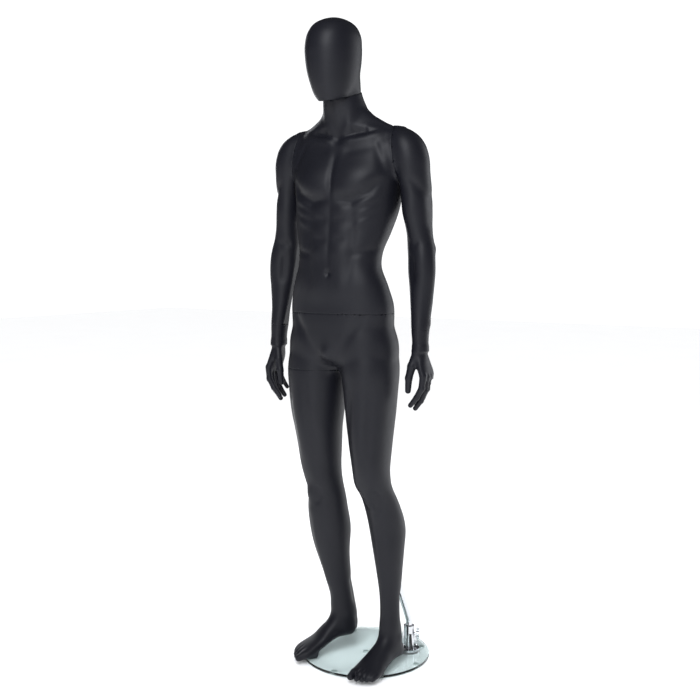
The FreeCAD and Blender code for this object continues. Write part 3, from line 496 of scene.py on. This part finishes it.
def arm_detail(q):
    """Shoulder cap, upper arm, elbow and forearm about the arm's own centre line."""
    # Shoulder cap and its lower edge, then the upper arm's front, back and side lines.
    d = -swell(q, (20, -6, 1430), (34, 46, 46), 1.5)
    cap_edge = [(6, -60, 1410), (26, -36, 1372), (40, 0, 1352), (26, 40, 1372)]
    d += crease(q, cap_edge, 12, 4)
    d -= swell(q, (-6, -46, 1326), (25, 30, 42), 6)
    d -= swell(q, (8, 46, 1345), (26, 28, 52), 6)
    d += crease(q, [(38, -4, 1352), (34, -2, 1262)], 10, 4)
    d += crease(q, [(-38, -2, 1362), (-34, 0, 1262)], 10, 4)
    # Elbow crease, forearm muscles and lines, elbow tip and wrist bone.
    d += crease(q, [(-24, -38, 1232), (22, -38, 1222)], 11, 3)
    d -= swell(q, (30, -14, 1176), (16, 28, 46), 5)
    d -= swell(q, (-22, -4, 1170), (16, 26, 50), 4)
    d += crease(q, [(4, -38, 1205), (6, -34, 1110)], 10, 3)
    d += crease(q, [(16, 32, 1180), (12, 30, 1060)], 10, 2.5)
    d -= swell(q, (12, 38, 1216), (12, 16, 17), 6)
    d -= swell(q, (20, 10, 1008), (9, 10, 11), 3)
    return d


def foot_form(rows):
    """Loft of foot sections, which are centred sideways and not turned."""
    return Loft([(r[0], 0) + r[1:] + (0,) for r in rows])


def palm_form(rows):
    """Loft of hand sections, given by their distance down and not turned."""
    return Loft([(-r[0],) + r[1:] + (0,) for r in rows])


TRUNK_FORM = Loft(TRUNK, 6)
HEAD_FORM = Loft(HEAD)
NAPE_FORM = Loft(NAPE)
ARM_FORM = Loft(ARM, 4)
PALM_FORM = palm_form(PALM)
# Sides are 1 for the figure's left and -1 for its right.
LEG_FORMS = {1: Loft(LEFT_LEG, 8), -1: Loft(RIGHT_LEG, 8)}
FEET = {1: (LEFT_HEEL, LEFT_FOOT_TURN, LEFT_FOOT_LENGTH, foot_form(LEFT_FOOT)),
        -1: (RIGHT_HEEL, RIGHT_FOOT_TURN, RIGHT_FOOT_LENGTH, foot_form(RIGHT_FOOT))}

# The belly's muscles fade out between these heights, down into the hips.
BELLY_FADE = (1040, 1110)
# The right heel is up, so below the first of these heights its ankle forms rise by
# RIGHT_ANKLE_LIFT, and above the second they don't.
RIGHT_ANKLE_LIFT = 26
ANKLE_FADE = (150, 300)


def trunk(p):
    """Chest and neck, with the slope of muscle that runs from the nape to each shoulder."""
    q = both(unturned(p))
    nape, middle, shoulder = (14, -20, 1596), (84, -6, 1541), (150, 4, 1519)
    slope = blend(bone(q, nape, middle, 30, 26), bone(q, middle, shoulder, 26, 23), 14)
    return blend(TRUNK_FORM(p), slope, 34) + trunk_detail(p) * fade(p[:, 2], *BELLY_FADE)


def leg(p, side):
    """Leg with its muscles."""
    form = LEG_FORMS[side]
    q = form.local(p)
    q[:, 0] *= side
    if side < 0:
        q[:, 2] -= RIGHT_ANKLE_LIFT * (1 - fade(q[:, 2], *ANKLE_FADE))
    return form(p) + leg_detail(q)


def arm(p, side):
    """Arm with its muscles; the right elbow is fuller on its inner side."""
    q = unturned(p)
    q[:, 0] *= side
    inner = swell(q, (176, 4, 1232), (34, 50, 52), 7) if side < 0 else 0
    return ARM_FORM(q) + arm_detail(ARM_FORM.local(q)) - inner


def foot(p, side):
    """Foot with its toes, flat under the sole."""
    (hx, hy), turn, length, form = FEET[side]
    a = math.radians(turn)
    dx, dy = p[:, 0] - hx, p[:, 1] - hy
    q = np.stack([dx * math.cos(a) + dy * math.sin(a), p[:, 2],
                  dx * math.sin(a) - dy * math.cos(a)], 1)
    d = form(q)
    q[:, 0] *= side
    toes = np.full(len(p), FAR_AWAY)
    for across, short, r in TOES:
        tip = length - short - r
        root = (across * 0.92, 18 + r * 0.3, length - 62 - short * 0.6)
        knuckle = (across, 17 + r * 0.75, tip - 17)
        end = (across, 12 + r * 0.72, tip)
        toe = blend(bone(q, root, knuckle, r + 1, r), bone(q, knuckle, end, r, r * 0.92), 4)
        toes = np.minimum(toes, toe)
    d = blend(d, toes, 11)
    for (x0, s0, r0), (x1, _, r1) in zip(TOES, TOES[1:]):
        x = (x0 + r0 + x1 - r1) / 2
        d += crease(q, [(x, 30, length - 40 - s0 * 0.7), (x * 1.04, 20, length)], 3.2, 1.8, 0.1)
    return np.maximum(d, SOLE_Z - p[:, 2])


def chain_of_bones(q, joints, fillet):
    """Bones through a hand's chain of joints, run together."""
    whole = np.full(len(q), FAR_AWAY)
    for (x0, y0, d0, r0), (x1, y1, d1, r1) in zip(joints, joints[1:]):
        whole = blend(whole, bone(q, (x0, y0, -d0), (x1, y1, -d1), r0, r1), fillet)
    return whole


def hand(p, side):
    """Palm, fingers with their knuckles, and thumb. The hand is turned edge forwards."""
    ox, oy, oz = turned(side * HAND_REACH, HAND_BACK, HAND_TOP_Z)
    a = math.radians(CHEST_TURN + side * 90)
    dx, dy = p[:, 0] - ox, p[:, 1] - oy
    q = np.stack([side * (dx * math.cos(a) + dy * math.sin(a)),
                  dy * math.cos(a) - dx * math.sin(a), p[:, 2] - oz], 1)
    d = PALM_FORM(q)
    fingers = np.full(len(p), FAR_AWAY)
    for chain in FINGERS:
        whole = chain_of_bones(q, chain, 2.5)
        for x, y, drop, r in chain[1:3]:
            whole -= swell(q, (x, y - 0.5 * r, -drop), (r, r, 0.8 * r), 0.8)
        fingers = np.minimum(fingers, whole)
        x, y, drop, r = chain[0]
        d -= swell(q, (x, y - 6, -drop), (7, 12, 9), 2)
    return blend(blend(d, fingers, 6), chain_of_bones(q, THUMB, 4), 9)


def legs_and_hips(p):
    """Pelvis with both legs and feet, before the seams are cut."""
    pelvis = TRUNK_FORM(p) + pelvis_detail(p) + trunk_detail(p) * fade(p[:, 2], *BELLY_FADE)
    left = blend(leg(p, 1), foot(p, 1), 30)
    right = blend(leg(p, -1), foot(p, -1), 30)
    return blend(pelvis, np.minimum(left, right), 40)


# Below ARM_ENDS the torso is without its arms, and below TRUNK_ENDS an arm is without the
# trunk. What is left out is drawn in by SHRINK, which fades over a few centimetres.
ARM_ENDS = 1352
TRUNK_ENDS = 1378
KEPT_WHOLE = 0
SHRINK = 40


def chest_and_arm(p, side, arm_ends, trunk_ends):
    """Trunk and one arm run together over the shoulder, each down to its own end."""
    z = p[:, 2]
    outer = arm(p, side) + SHRINK * (1 - fade(z, arm_ends, arm_ends + 62))
    inner = trunk(p) + SHRINK * (1 - fade(z, trunk_ends, trunk_ends + 50))
    return blend(inner, outer, 22)


def shoulder_side(p, side):
    """Distance beyond a shoulder seam: flat by the joint, set inwards around it."""
    seam = np.array(turned(side * SHOULDER_REACH, SHOULDER_BACK, SHOULDER_Z))
    tilt, turn = math.radians(SHOULDER_TILT), math.radians(CHEST_TURN)
    normal = np.array([side * math.cos(turn) * math.cos(tilt),
                       side * math.sin(turn) * math.cos(tilt), math.sin(tilt)])
    q = p - seam
    along = q @ normal
    r = np.sqrt(np.maximum((q * q).sum(1) - along ** 2, 0))
    return along + ARM_INSET * fade(r, FACE_INNER, FACE_OUTER)


def neck_side(p):
    """Distance above the neck seam."""
    a = math.radians(NECK_TILT)
    return (p - np.array(NECK_SEAM)) @ np.array([0, -math.sin(a), math.cos(a)])


def wrist_side(p, side):
    """Distance below a wrist seam, square to the line through two forearm sections."""
    low, high = (np.array(turned(side * ARM[i][1], ARM[i][2], ARM[i][0])) for i in (0, 3))
    seam = low + (high - low) * (WRIST_Z - low[2]) / (high[2] - low[2])
    down = (low - high) / np.linalg.norm(low - high)
    return (p - seam) @ down


# ---------------------------------------------------------------- meshing
# The space is first tried in cubes of BLOCK cells a side. A cube is looked into when its
# middle is within REACH cubes of the surface, as the forms are only roughly distances.
BLOCK = 4
REACH = 3.2
# Settling: the step that a slope is measured over, the rounds for surface and rim, and the
# smallest slope and the flattest crossing that are divided by.
STEP = 0.4
SURFACE_ROUNDS = 3
RIM_ROUNDS = 4
LEAST_SLOPE = 0.2
LEAST_CROSSING = 1e-3
# A vertex within RIM_REACH cells of both surface and cut is tried on the rim, and stays
# there if the rim lies within its own cell, which reaches IN_CELL from its middle.
RIM_REACH = 1.2
IN_CELL = 0.52
POINTS_AT_ONCE = 400000
AROUND_AN_EDGE = ((0, 0), (1, 0), (1, 1), (0, 1))


def grid_places(*counts):
    """Every whole-number place of a grid, one to a row."""
    axes = [np.arange(count) for count in counts]
    return np.stack(np.meshgrid(*axes, indexing="ij"), -1).reshape(-1, 3)


def quads_of(form, limit, low, high, cell):
    """Quad mesh of the form kept where limit is negative, with a crisp edge at the cut."""

    def kept(p):
        return np.maximum(form(p), limit(p))

    low, high = np.asarray(low, float), np.asarray(high, float)
    blocks = np.ceil((high - low) / (cell * BLOCK)).astype(int)
    n = blocks * BLOCK + 1
    block = grid_places(*blocks)
    near = np.abs(kept(low + (block + 0.5) * cell * BLOCK)) < REACH * cell * BLOCK
    wanted = np.zeros(n, bool)
    for offset in grid_places(BLOCK + 1, BLOCK + 1, BLOCK + 1):
        wanted[tuple((block[near] * BLOCK + offset).T)] = True
    grid = np.full(n, np.nan)
    corners = np.argwhere(wanted)
    for part in np.array_split(corners, max(1, len(corners) // POINTS_AT_ONCE)):
        grid[tuple(part.T)] = kept(low + part * cell)
    # Each cell's vertex starts at the mean of the places where its edges cross the surface.
    total = np.zeros((*(n - 1), 3))
    count = np.zeros(n - 1)
    crossings = []
    for a in range(3):
        first = [slice(None)] * 3
        second = [slice(None)] * 3
        first[a], second[a] = slice(0, -1), slice(1, None)
        va, vb = grid[tuple(first)], grid[tuple(second)]
        with np.errstate(invalid="ignore"):
            hit = np.argwhere((va < 0) != (vb < 0))
        fa, fb = va[tuple(hit.T)], vb[tuple(hit.T)]
        known = np.isfinite(fa) & np.isfinite(fb)
        hit, fa, fb = hit[known], fa[known], fb[known]
        place = hit.astype(float)
        place[:, a] += fa / (fa - fb)
        b, c = (a + 1) % 3, (a + 2) % 3
        for db, dc in AROUND_AN_EDGE:
            q = hit.copy()
            q[:, b] -= db
            q[:, c] -= dc
            ok = ((q >= 0) & (q < n - 1)).all(1)
            np.add.at(total, tuple(q[ok].T), place[ok])
            np.add.at(count, tuple(q[ok].T), 1)
        crossings.append((a, hit, fa < 0))
    used = count > 0
    index = np.full(n - 1, -1)
    index[used] = np.arange(used.sum())
    centres = low + (np.argwhere(used) + 0.5) * cell
    points = low + cell * total[used] / count[used][:, None]
    # Each crossed edge makes one quad through the four cells around it.
    faces = []
    for a, hit, inside in crossings:
        b, c = (a + 1) % 3, (a + 2) % 3
        ok = (hit[:, b] >= 1) & (hit[:, c] >= 1)
        ok &= (hit[:, b] < n[b] - 1) & (hit[:, c] < n[c] - 1)
        hit, inside = hit[ok], inside[ok]
        ring = []
        for db, dc in AROUND_AN_EDGE:
            q = hit.copy()
            q[:, b] -= db
            q[:, c] -= dc
            ring.append(index[tuple(q.T)])
        quad = np.stack(ring, 1)
        quad[~inside] = quad[~inside][:, ::-1]
        faces.append(quad)
    faces = np.concatenate(faces)
    points, rim = settle(form, limit, points, centres, cell)
    return points, faces, rim


def gradient(f, p, value):
    """Slope of f at p, where f is value."""
    return np.stack([(f(p + STEP * axis) - value) / STEP for axis in np.eye(3)], 1)


def settle(form, limit, points, centres, cell):
    """Move each vertex onto the surface, or onto the rim where the cut meets it."""
    for _ in range(SURFACE_ROUNDS):
        f, g = form(points), limit(points)
        on_form = f >= g
        value = np.where(on_form, f, g)
        slope = np.where(on_form[:, None], gradient(form, points, f), gradient(limit, points, g))
        size = np.maximum((slope ** 2).sum(1), LEAST_SLOPE)
        points = points - np.clip(value / size, -cell, cell)[:, None] * slope
    f, g = form(points), limit(points)
    close = np.maximum(np.abs(f), np.abs(g)) < RIM_REACH * cell
    trial = points[close].copy()
    for _ in range(RIM_ROUNDS):
        f, g = form(trial), limit(trial)
        u, v = gradient(form, trial, f), gradient(limit, trial, g)
        uu, vv, uv = (u * u).sum(1), (v * v).sum(1), (u * v).sum(1)
        det = np.maximum(uu * vv - uv ** 2, LEAST_CROSSING)
        a, b = (f * vv - g * uv) / det, (g * uu - f * uv) / det
        move = a[:, None] * u + b[:, None] * v
        trial = trial - np.clip(move, -cell, cell)
    inside = (np.abs(trial - centres[close]) < IN_CELL * cell).all(1)
    rim = np.zeros(len(points), bool)
    rows = np.flatnonzero(close)[inside]
    points[rows] = trial[inside]
    rim[rows] = True
    return points, rim


# ---------------------------------------------------------------- meshes
def object_from(name, points, faces):
    """Blender object from points in millimetres."""
    mesh = bpy.data.meshes.new(name)
    corners = [tuple(v / 1000) for v in points]
    mesh.from_pydata(corners, [], [tuple(int(i) for i in f) for f in faces])
    mesh.update()
    made = bpy.data.objects.new(name, mesh)
    bpy.context.scene.collection.objects.link(made)
    return made


SEAM_ROUND = 0.9
SEAM_ROUND_STEPS = 2
CRISP_ANGLE = 32


def rounded_rim(made, rim):
    """Ease the crisp edges between marked vertices."""
    work = bmesh.new()
    work.from_mesh(made.data)
    work.verts.ensure_lookup_table()
    marked = set(int(i) for i in np.flatnonzero(rim))
    edges = [e for e in work.edges
             if e.verts[0].index in marked and e.verts[1].index in marked
             and len(e.link_faces) == 2 and e.calc_face_angle() > math.radians(CRISP_ANGLE)]
    bmesh.ops.bevel(work, geom=edges, offset=SEAM_ROUND / 1000, segments=SEAM_ROUND_STEPS,
                    profile=0.5, affect="EDGES", clamp_overlap=True)
    work.to_mesh(made.data)
    work.free()


def finish_piece(made, body, material, node):
    """Smooth, painted, riding on its body and standing in for its CAD node."""
    for face in made.data.polygons:
        face.use_smooth = True
    made.data.materials.append(material)
    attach(made, body)
    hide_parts(node)


BODY_CELL = 4.0
HEAD_CELL = 3.2
HAND_CELL = 2.4


def sculpt(name, body, node, form, limit, low, high, cell):
    """A shell of the figure, meshed from its form and cut at its seams."""
    points, faces, rim = quads_of(form, limit, low, high, cell)
    made = object_from(name, points, faces)
    rounded_rim(made, rim)
    finish_piece(made, body, SHELL_PAINT, node)


# ---------------------------------------------------------------- paints
def paint(name):
    """New material with its node tree's parts."""
    made = bpy.data.materials.new(name)
    made.use_nodes = True
    nodes, links = made.node_tree.nodes, made.node_tree.links
    return made, nodes, links, nodes["Principled BSDF"]


def speckle(nodes, links, scale, detail=2.0):
    """Noise in object space; scale is in cycles per metre, detail in octaves."""
    where = nodes.new("ShaderNodeTexCoord")
    noise = nodes.new("ShaderNodeTexNoise")
    noise.inputs["Scale"].default_value = scale
    noise.inputs["Detail"].default_value = detail
    links.new(where.outputs["Object"], noise.inputs["Vector"])
    return noise


def spread(nodes, links, noise, low, high):
    """Noise mapped onto a narrow range."""
    ramp = nodes.new("ShaderNodeMapRange")
    ramp.inputs["To Min"].default_value = low
    ramp.inputs["To Max"].default_value = high
    links.new(noise.outputs["Fac"], ramp.inputs["Value"])
    return ramp


def tint(nodes, links, noise, dark, light):
    """Noise mapped onto two close colours."""
    mix = nodes.new("ShaderNodeMix")
    mix.data_type = "RGBA"
    mix.inputs[6].default_value = (*dark, 1)
    mix.inputs[7].default_value = (*light, 1)
    links.new(noise.outputs["Fac"], mix.inputs[0])
    return mix


def bumped(nodes, links, noise, shader, height, strength):
    """Noise as a fine relief, with its height in metres."""
    bump = nodes.new("ShaderNodeBump")
    bump.inputs["Strength"].default_value = strength
    bump.inputs["Distance"].default_value = height
    links.new(noise.outputs["Fac"], bump.inputs["Height"])
    links.new(bump.outputs["Normal"], shader.inputs["Normal"])


def shell_paint():
    """Sprayed satin charcoal lacquer with a fine orange peel."""
    made, nodes, links, shader = paint("satin_charcoal")
    cloud = speckle(nodes, links, 9, 3)
    colour = tint(nodes, links, cloud, (0.0040, 0.0043, 0.0076), (0.0055, 0.0058, 0.0096))
    links.new(colour.outputs[2], shader.inputs["Base Color"])
    grain = speckle(nodes, links, 60)
    sheen = spread(nodes, links, grain, 0.47, 0.54)
    links.new(sheen.outputs["Result"], shader.inputs["Roughness"])
    bumped(nodes, links, speckle(nodes, links, 900), shader, 0.0002, 0.12)
    shader.inputs["Specular IOR Level"].default_value = 0.28
    return made


def metal_paint(name, colour, rough):
    """Plated metal with faint clouds and smears."""
    made, nodes, links, shader = paint(name)
    shader.inputs["Metallic"].default_value = 1.0
    cloud = speckle(nodes, links, 40)
    bright = tuple(min(1.0, c * 1.04) for c in colour)
    links.new(tint(nodes, links, cloud, colour, bright).outputs[2], shader.inputs["Base Color"])
    smear = speckle(nodes, links, 120)
    links.new(spread(nodes, links, smear, rough * 0.7, rough * 1.4).outputs["Result"],
              shader.inputs["Roughness"])
    bumped(nodes, links, speckle(nodes, links, 700), shader, 0.0001, 0.05)
    return made


def glass_paint():
    """Clear float glass: nearly colourless through the face, green through the edge. Light
    on its way to a lamp passes straight through, so the glass casts a pale shadow."""
    made, nodes, links, shader = paint("float_glass")
    shader.inputs["Transmission Weight"].default_value = 1.0
    shader.inputs["IOR"].default_value = 1.5
    haze = speckle(nodes, links, 30)
    links.new(tint(nodes, links, haze, (0.875, 0.925, 0.915), (0.89, 0.935, 0.925)).outputs[2],
              shader.inputs["Base Color"])
    links.new(spread(nodes, links, haze, 0.01, 0.03).outputs["Result"], shader.inputs["Roughness"])
    bumped(nodes, links, speckle(nodes, links, 300, 1), shader, 0.00003, 0.03)
    depth = nodes.new("ShaderNodeVolumeAbsorption")
    depth.inputs["Color"].default_value = (0.42, 0.64, 0.58, 1)
    depth.inputs["Density"].default_value = 3.2
    links.new(depth.outputs["Volume"], nodes["Material Output"].inputs["Volume"])
    rays = nodes.new("ShaderNodeLightPath")
    clear = nodes.new("ShaderNodeBsdfTransparent")
    clear.inputs["Color"].default_value = (0.88, 0.93, 0.92, 1)
    through = nodes.new("ShaderNodeMixShader")
    links.new(rays.outputs["Is Shadow Ray"], through.inputs["Fac"])
    links.new(shader.outputs["BSDF"], through.inputs[1])
    links.new(clear.outputs["BSDF"], through.inputs[2])
    links.new(through.outputs["Shader"], nodes["Material Output"].inputs["Surface"])
    return made


def rubber_paint(name, colour, rough):
    """Matt soft plastic."""
    made, nodes, links, shader = paint(name)
    cloud = speckle(nodes, links, 80)
    light = tuple(c * 1.15 for c in colour)
    links.new(tint(nodes, links, cloud, colour, light).outputs[2], shader.inputs["Base Color"])
    links.new(spread(nodes, links, cloud, rough * 0.85, rough * 1.1).outputs["Result"],
              shader.inputs["Roughness"])
    bumped(nodes, links, speckle(nodes, links, 500), shader, 0.0002, 0.2)
    return made


SHELL_PAINT = shell_paint()
CHROME_PAINT = metal_paint("chrome_plate", (0.64, 0.65, 0.67), 0.14)
STEEL_PAINT = metal_paint("zinc_steel", (0.60, 0.60, 0.61), 0.30)
GLASS_PAINT = glass_paint()
PAD_PAINT = rubber_paint("soft_pad", (0.62, 0.65, 0.64), 0.45)
GASKET_PAINT = rubber_paint("gasket", (0.30, 0.31, 0.31), 0.6)


# ---------------------------------------------------------------- the figure
def ends(*distances):
    """The tightest of several cut-offs."""
    return np.maximum.reduce(distances)


def hips_limit(p):
    """Below the waist, without the right leg."""
    below = np.minimum(THIGH_Z + HALF_GAP - p[:, 2], LEG_SPLIT_X - p[:, 0])
    return ends(p[:, 2] - (WAIST_Z - HALF_GAP), below)


def right_leg_limit(p):
    """Below the thigh seam, on the right."""
    return ends(p[:, 2] - (THIGH_Z - HALF_GAP), p[:, 0] - LEG_SPLIT_X)


def torso_limit(p):
    """Above the waist, below the neck seam and between the shoulder seams."""
    return ends(WAIST_Z + HALF_GAP - p[:, 2], neck_side(p) + HALF_GAP,
                shoulder_side(p, 1) + HALF_GAP, shoulder_side(p, -1) + HALF_GAP)


def torso_form(p):
    """Chest and neck with both shoulders, before the seams are cut."""
    left = chest_and_arm(p, 1, ARM_ENDS, KEPT_WHOLE)
    right = chest_and_arm(p, -1, ARM_ENDS, KEPT_WHOLE)
    return np.minimum(left, right)


def head_form(p):
    """Egg head run into the nape, with nothing above the crown."""
    above = p[:, 2] - HEAD_TOP_Z - CROWN_ROOM
    return np.maximum(blend(HEAD_FORM(p), NAPE_FORM(p), 16), above)


def head_limit(p):
    """Above the neck seam."""
    return HALF_GAP - neck_side(p)


def build_arm(label, side):
    """One arm and its hand."""

    def arm_form(p):
        return chest_and_arm(p, side, KEPT_WHOLE, TRUNK_ENDS)

    def arm_limit(p):
        return ends(HALF_GAP - shoulder_side(p, side), wrist_side(p, side) + WRIST_GAP)

    def hand_form(p):
        return blend(arm(p, side), hand(p, side), 12)

    def hand_limit(p):
        return WRIST_GAP - wrist_side(p, side)

    wx, wy, _ = turned(side * 224, -14, WRIST_Z)
    sx, sy, _ = turned(side * 205, 5, 1300)
    sculpt(label + "_arm", label + "_arm", label + "_arm_shell", arm_form, arm_limit,
           (min(sx, wx) - 68, min(sy, wy) - 84, 976),
           (max(sx, wx) + 68, max(sy, wy) + 84, 1552), BODY_CELL)
    sculpt(label + "_hand_skin", label + "_hand", label + "_hand", hand_form, hand_limit,
           (wx - 52, wy - 62, 760), (wx + 52, wy + 62, 1000), HAND_CELL)


# Each piece: name, body, CAD node, form, limit, the corners of the space it fills, and cell.
sculpt("hips_and_left_leg", "hips", "hips_left_leg_shell", legs_and_hips, hips_limit,
       (-190, -262, 4), (176, 34, 1044), BODY_CELL)
sculpt("right_leg", "right_leg", "right_leg_shell", legs_and_hips, right_leg_limit,
       (-204, -262, 4), (2, 34, 884), BODY_CELL)
sculpt("torso", "torso", "torso_shell", torso_form, torso_limit,
       (-200, -232, 1026), (190, 44, 1664), BODY_CELL)
sculpt("head", "head", "head_shell", head_form, head_limit,
       (-88, -268, 1596), (76, -46, 1842), HEAD_CELL)
build_arm("left", 1)
build_arm("right", -1)

# ---------------------------------------------------------------- base and rod
# The fittings show their own CAD shapes, painted; what isn't listed is zinc-plated steel.
CAD_PAINTS = {
    "glass_disc": GLASS_PAINT, "bumper_pads": PAD_PAINT, "foot_gasket": GASKET_PAINT,
    "base_fitting": CHROME_PAINT, "thumb_screw": CHROME_PAINT, "calf_rod": CHROME_PAINT,
}
for node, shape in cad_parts.items():
    for i in range(len(shape.data.materials)):
        shape.data.materials[i] = CAD_PAINTS.get(node, STEEL_PAINT)


ROD_RADIUS = 10
ROD_LEAN = 27
ROD_BEND_RADIUS = 45
ROD_BEND_Z = 92
ROD_UPPER_LENGTH = 262
ROD_SIDES = 32
ROD_BEND_STEPS = 12
# Heights above the rod's lower end of the first rings; the first is just off the CAD's end.
ROD_FOOT_RINGS = (0.6, 20, 40)


def swept_rod():
    """Chrome rod: upright in the fitting, then bent forward into the calf."""
    low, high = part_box("calf_rod")
    axis = np.array([(low.x + high.x) / 2, high.y - ROD_RADIUS / 1000, low.z]) * 1000
    lean = math.radians(ROD_LEAN)
    spine = [axis + (0, 0, h) for h in (*ROD_FOOT_RINGS, ROD_BEND_Z - axis[2])]
    centre = np.array([axis[0], axis[1] - ROD_BEND_RADIUS, ROD_BEND_Z])
    for i in range(1, ROD_BEND_STEPS + 1):
        a = lean * i / ROD_BEND_STEPS
        spine.append(centre + ROD_BEND_RADIUS * np.array([0, math.cos(a), math.sin(a)]))
    up = np.array([0, -math.sin(lean), math.cos(lean)])
    spine += [spine[-1] + up * ROD_UPPER_LENGTH * s for s in (0.25, 0.5, 0.75, 1.0)]
    points, faces = [], []
    sides = ROD_SIDES
    for k, s in enumerate(spine):
        t = spine[min(k + 1, len(spine) - 1)] - spine[max(k - 1, 0)]
        t = t / np.linalg.norm(t)
        across, over = np.array([1.0, 0, 0]), np.cross(t, [1.0, 0, 0])
        for i in range(sides):
            a = 2 * math.pi * i / sides
            points.append(s + ROD_RADIUS * (math.cos(a) * across + math.sin(a) * over))
    for k in range(len(spine) - 1):
        for i in range(sides):
            j = (i + 1) % sides
            here, above = k * sides, (k + 1) * sides
            faces.append((here + i, above + i, above + j, here + j))
    faces.append(tuple(range(sides)))
    faces.append(tuple(range(len(points) - 1, len(points) - sides - 1, -1)))
    made = object_from("chrome_rod", points, faces)
    finish_piece(made, "rod", CHROME_PAINT, "calf_rod")


swept_rod()


# ---------------------------------------------------------------- studio
def floor_paint():
    """Matt white floor."""
    made, nodes, links, shader = paint("studio_floor")
    cloud = speckle(nodes, links, 2)
    colour = tint(nodes, links, cloud, (0.93, 0.93, 0.93), (0.95, 0.95, 0.95))
    links.new(colour.outputs[2], shader.inputs["Base Color"])
    sheen = spread(nodes, links, cloud, 0.75, 0.85)
    links.new(sheen.outputs["Result"], shader.inputs["Roughness"])
    bumped(nodes, links, speckle(nodes, links, 200), shader, 0.0003, 0.05)
    return made


LAMP_COLOUR = (0.93, 0.95, 1.0)


def area_light(name, place, target, size, power):
    """Rectangular lamp in metres and watts, facing its target."""
    lamp = bpy.data.lights.new(name, "AREA")
    lamp.shape = "RECTANGLE"
    lamp.size, lamp.size_y = size
    lamp.energy = power
    lamp.color = LAMP_COLOUR
    made = bpy.data.objects.new(name, lamp)
    bpy.context.scene.collection.objects.link(made)
    made.location = place
    aim = Vector(target) - Vector(place)
    made.rotation_euler = aim.to_track_quat("-Z", "Y").to_euler()


FLOOR_REACH = 14000.0
floor_corners = FLOOR_REACH * np.array([(-1, -1, 0), (1, -1, 0), (1, 1, 0), (-1, 1, 0)])
floor = object_from("floor", floor_corners, [(0, 1, 2, 3)])
floor.data.materials.append(floor_paint())

# The white walls show and light the floor in full, and reflect dimmer in the glossy surfaces.
WALLS_WHITE = 1.16
WALLS_IN_GLOSS = 0.07
world = bpy.data.worlds.new("studio")
bpy.context.scene.world = world
world.use_nodes = True
sky = world.node_tree.nodes["Background"]
sky.inputs["Color"].default_value = (0.985, 0.99, 1.0, 1)
rays = world.node_tree.nodes.new("ShaderNodeLightPath")
dimmer = world.node_tree.nodes.new("ShaderNodeMapRange")
dimmer.inputs["To Min"].default_value = WALLS_WHITE
dimmer.inputs["To Max"].default_value = WALLS_IN_GLOSS
world.node_tree.links.new(rays.outputs["Is Glossy Ray"], dimmer.inputs["Value"])
world.node_tree.links.new(dimmer.outputs["Result"], sky.inputs["Strength"])
bpy.context.scene.view_settings.view_transform = "Standard"

area_light("key", (1.1, -2.6, 3.3), (0, 0, 1.25), (1.5, 2.4), 100)
area_light("key_low", (0.8, -3.0, 0.9), (0, 0, 0.8), (1.3, 1.5), 9)
area_light("behind_right", (1.2, 3.0, 1.5), (0, 0, 1.0), (0.9, 2.8), 32)
area_light("behind_left", (-2.7, 1.7, 1.5), (0, 0, 1.0), (0.9, 2.8), 32)

lens = bpy.data.cameras.new("photo_view")
camera = bpy.data.objects.new("photo_view", lens)
bpy.context.scene.collection.objects.link(camera)
# The view is from the figure's left front, a little above the waist and looking down.
VIEW_DOWN = 5.55
VIEW_TURN = 33
camera.location = (1.5389, -2.4584, 1.201)
camera.rotation_euler = (math.radians(90 - VIEW_DOWN), 0, math.radians(VIEW_TURN))
lens.sensor_width = 36
lens.lens = 51.2
lens.clip_end = 60
bpy.context.scene.camera = camera
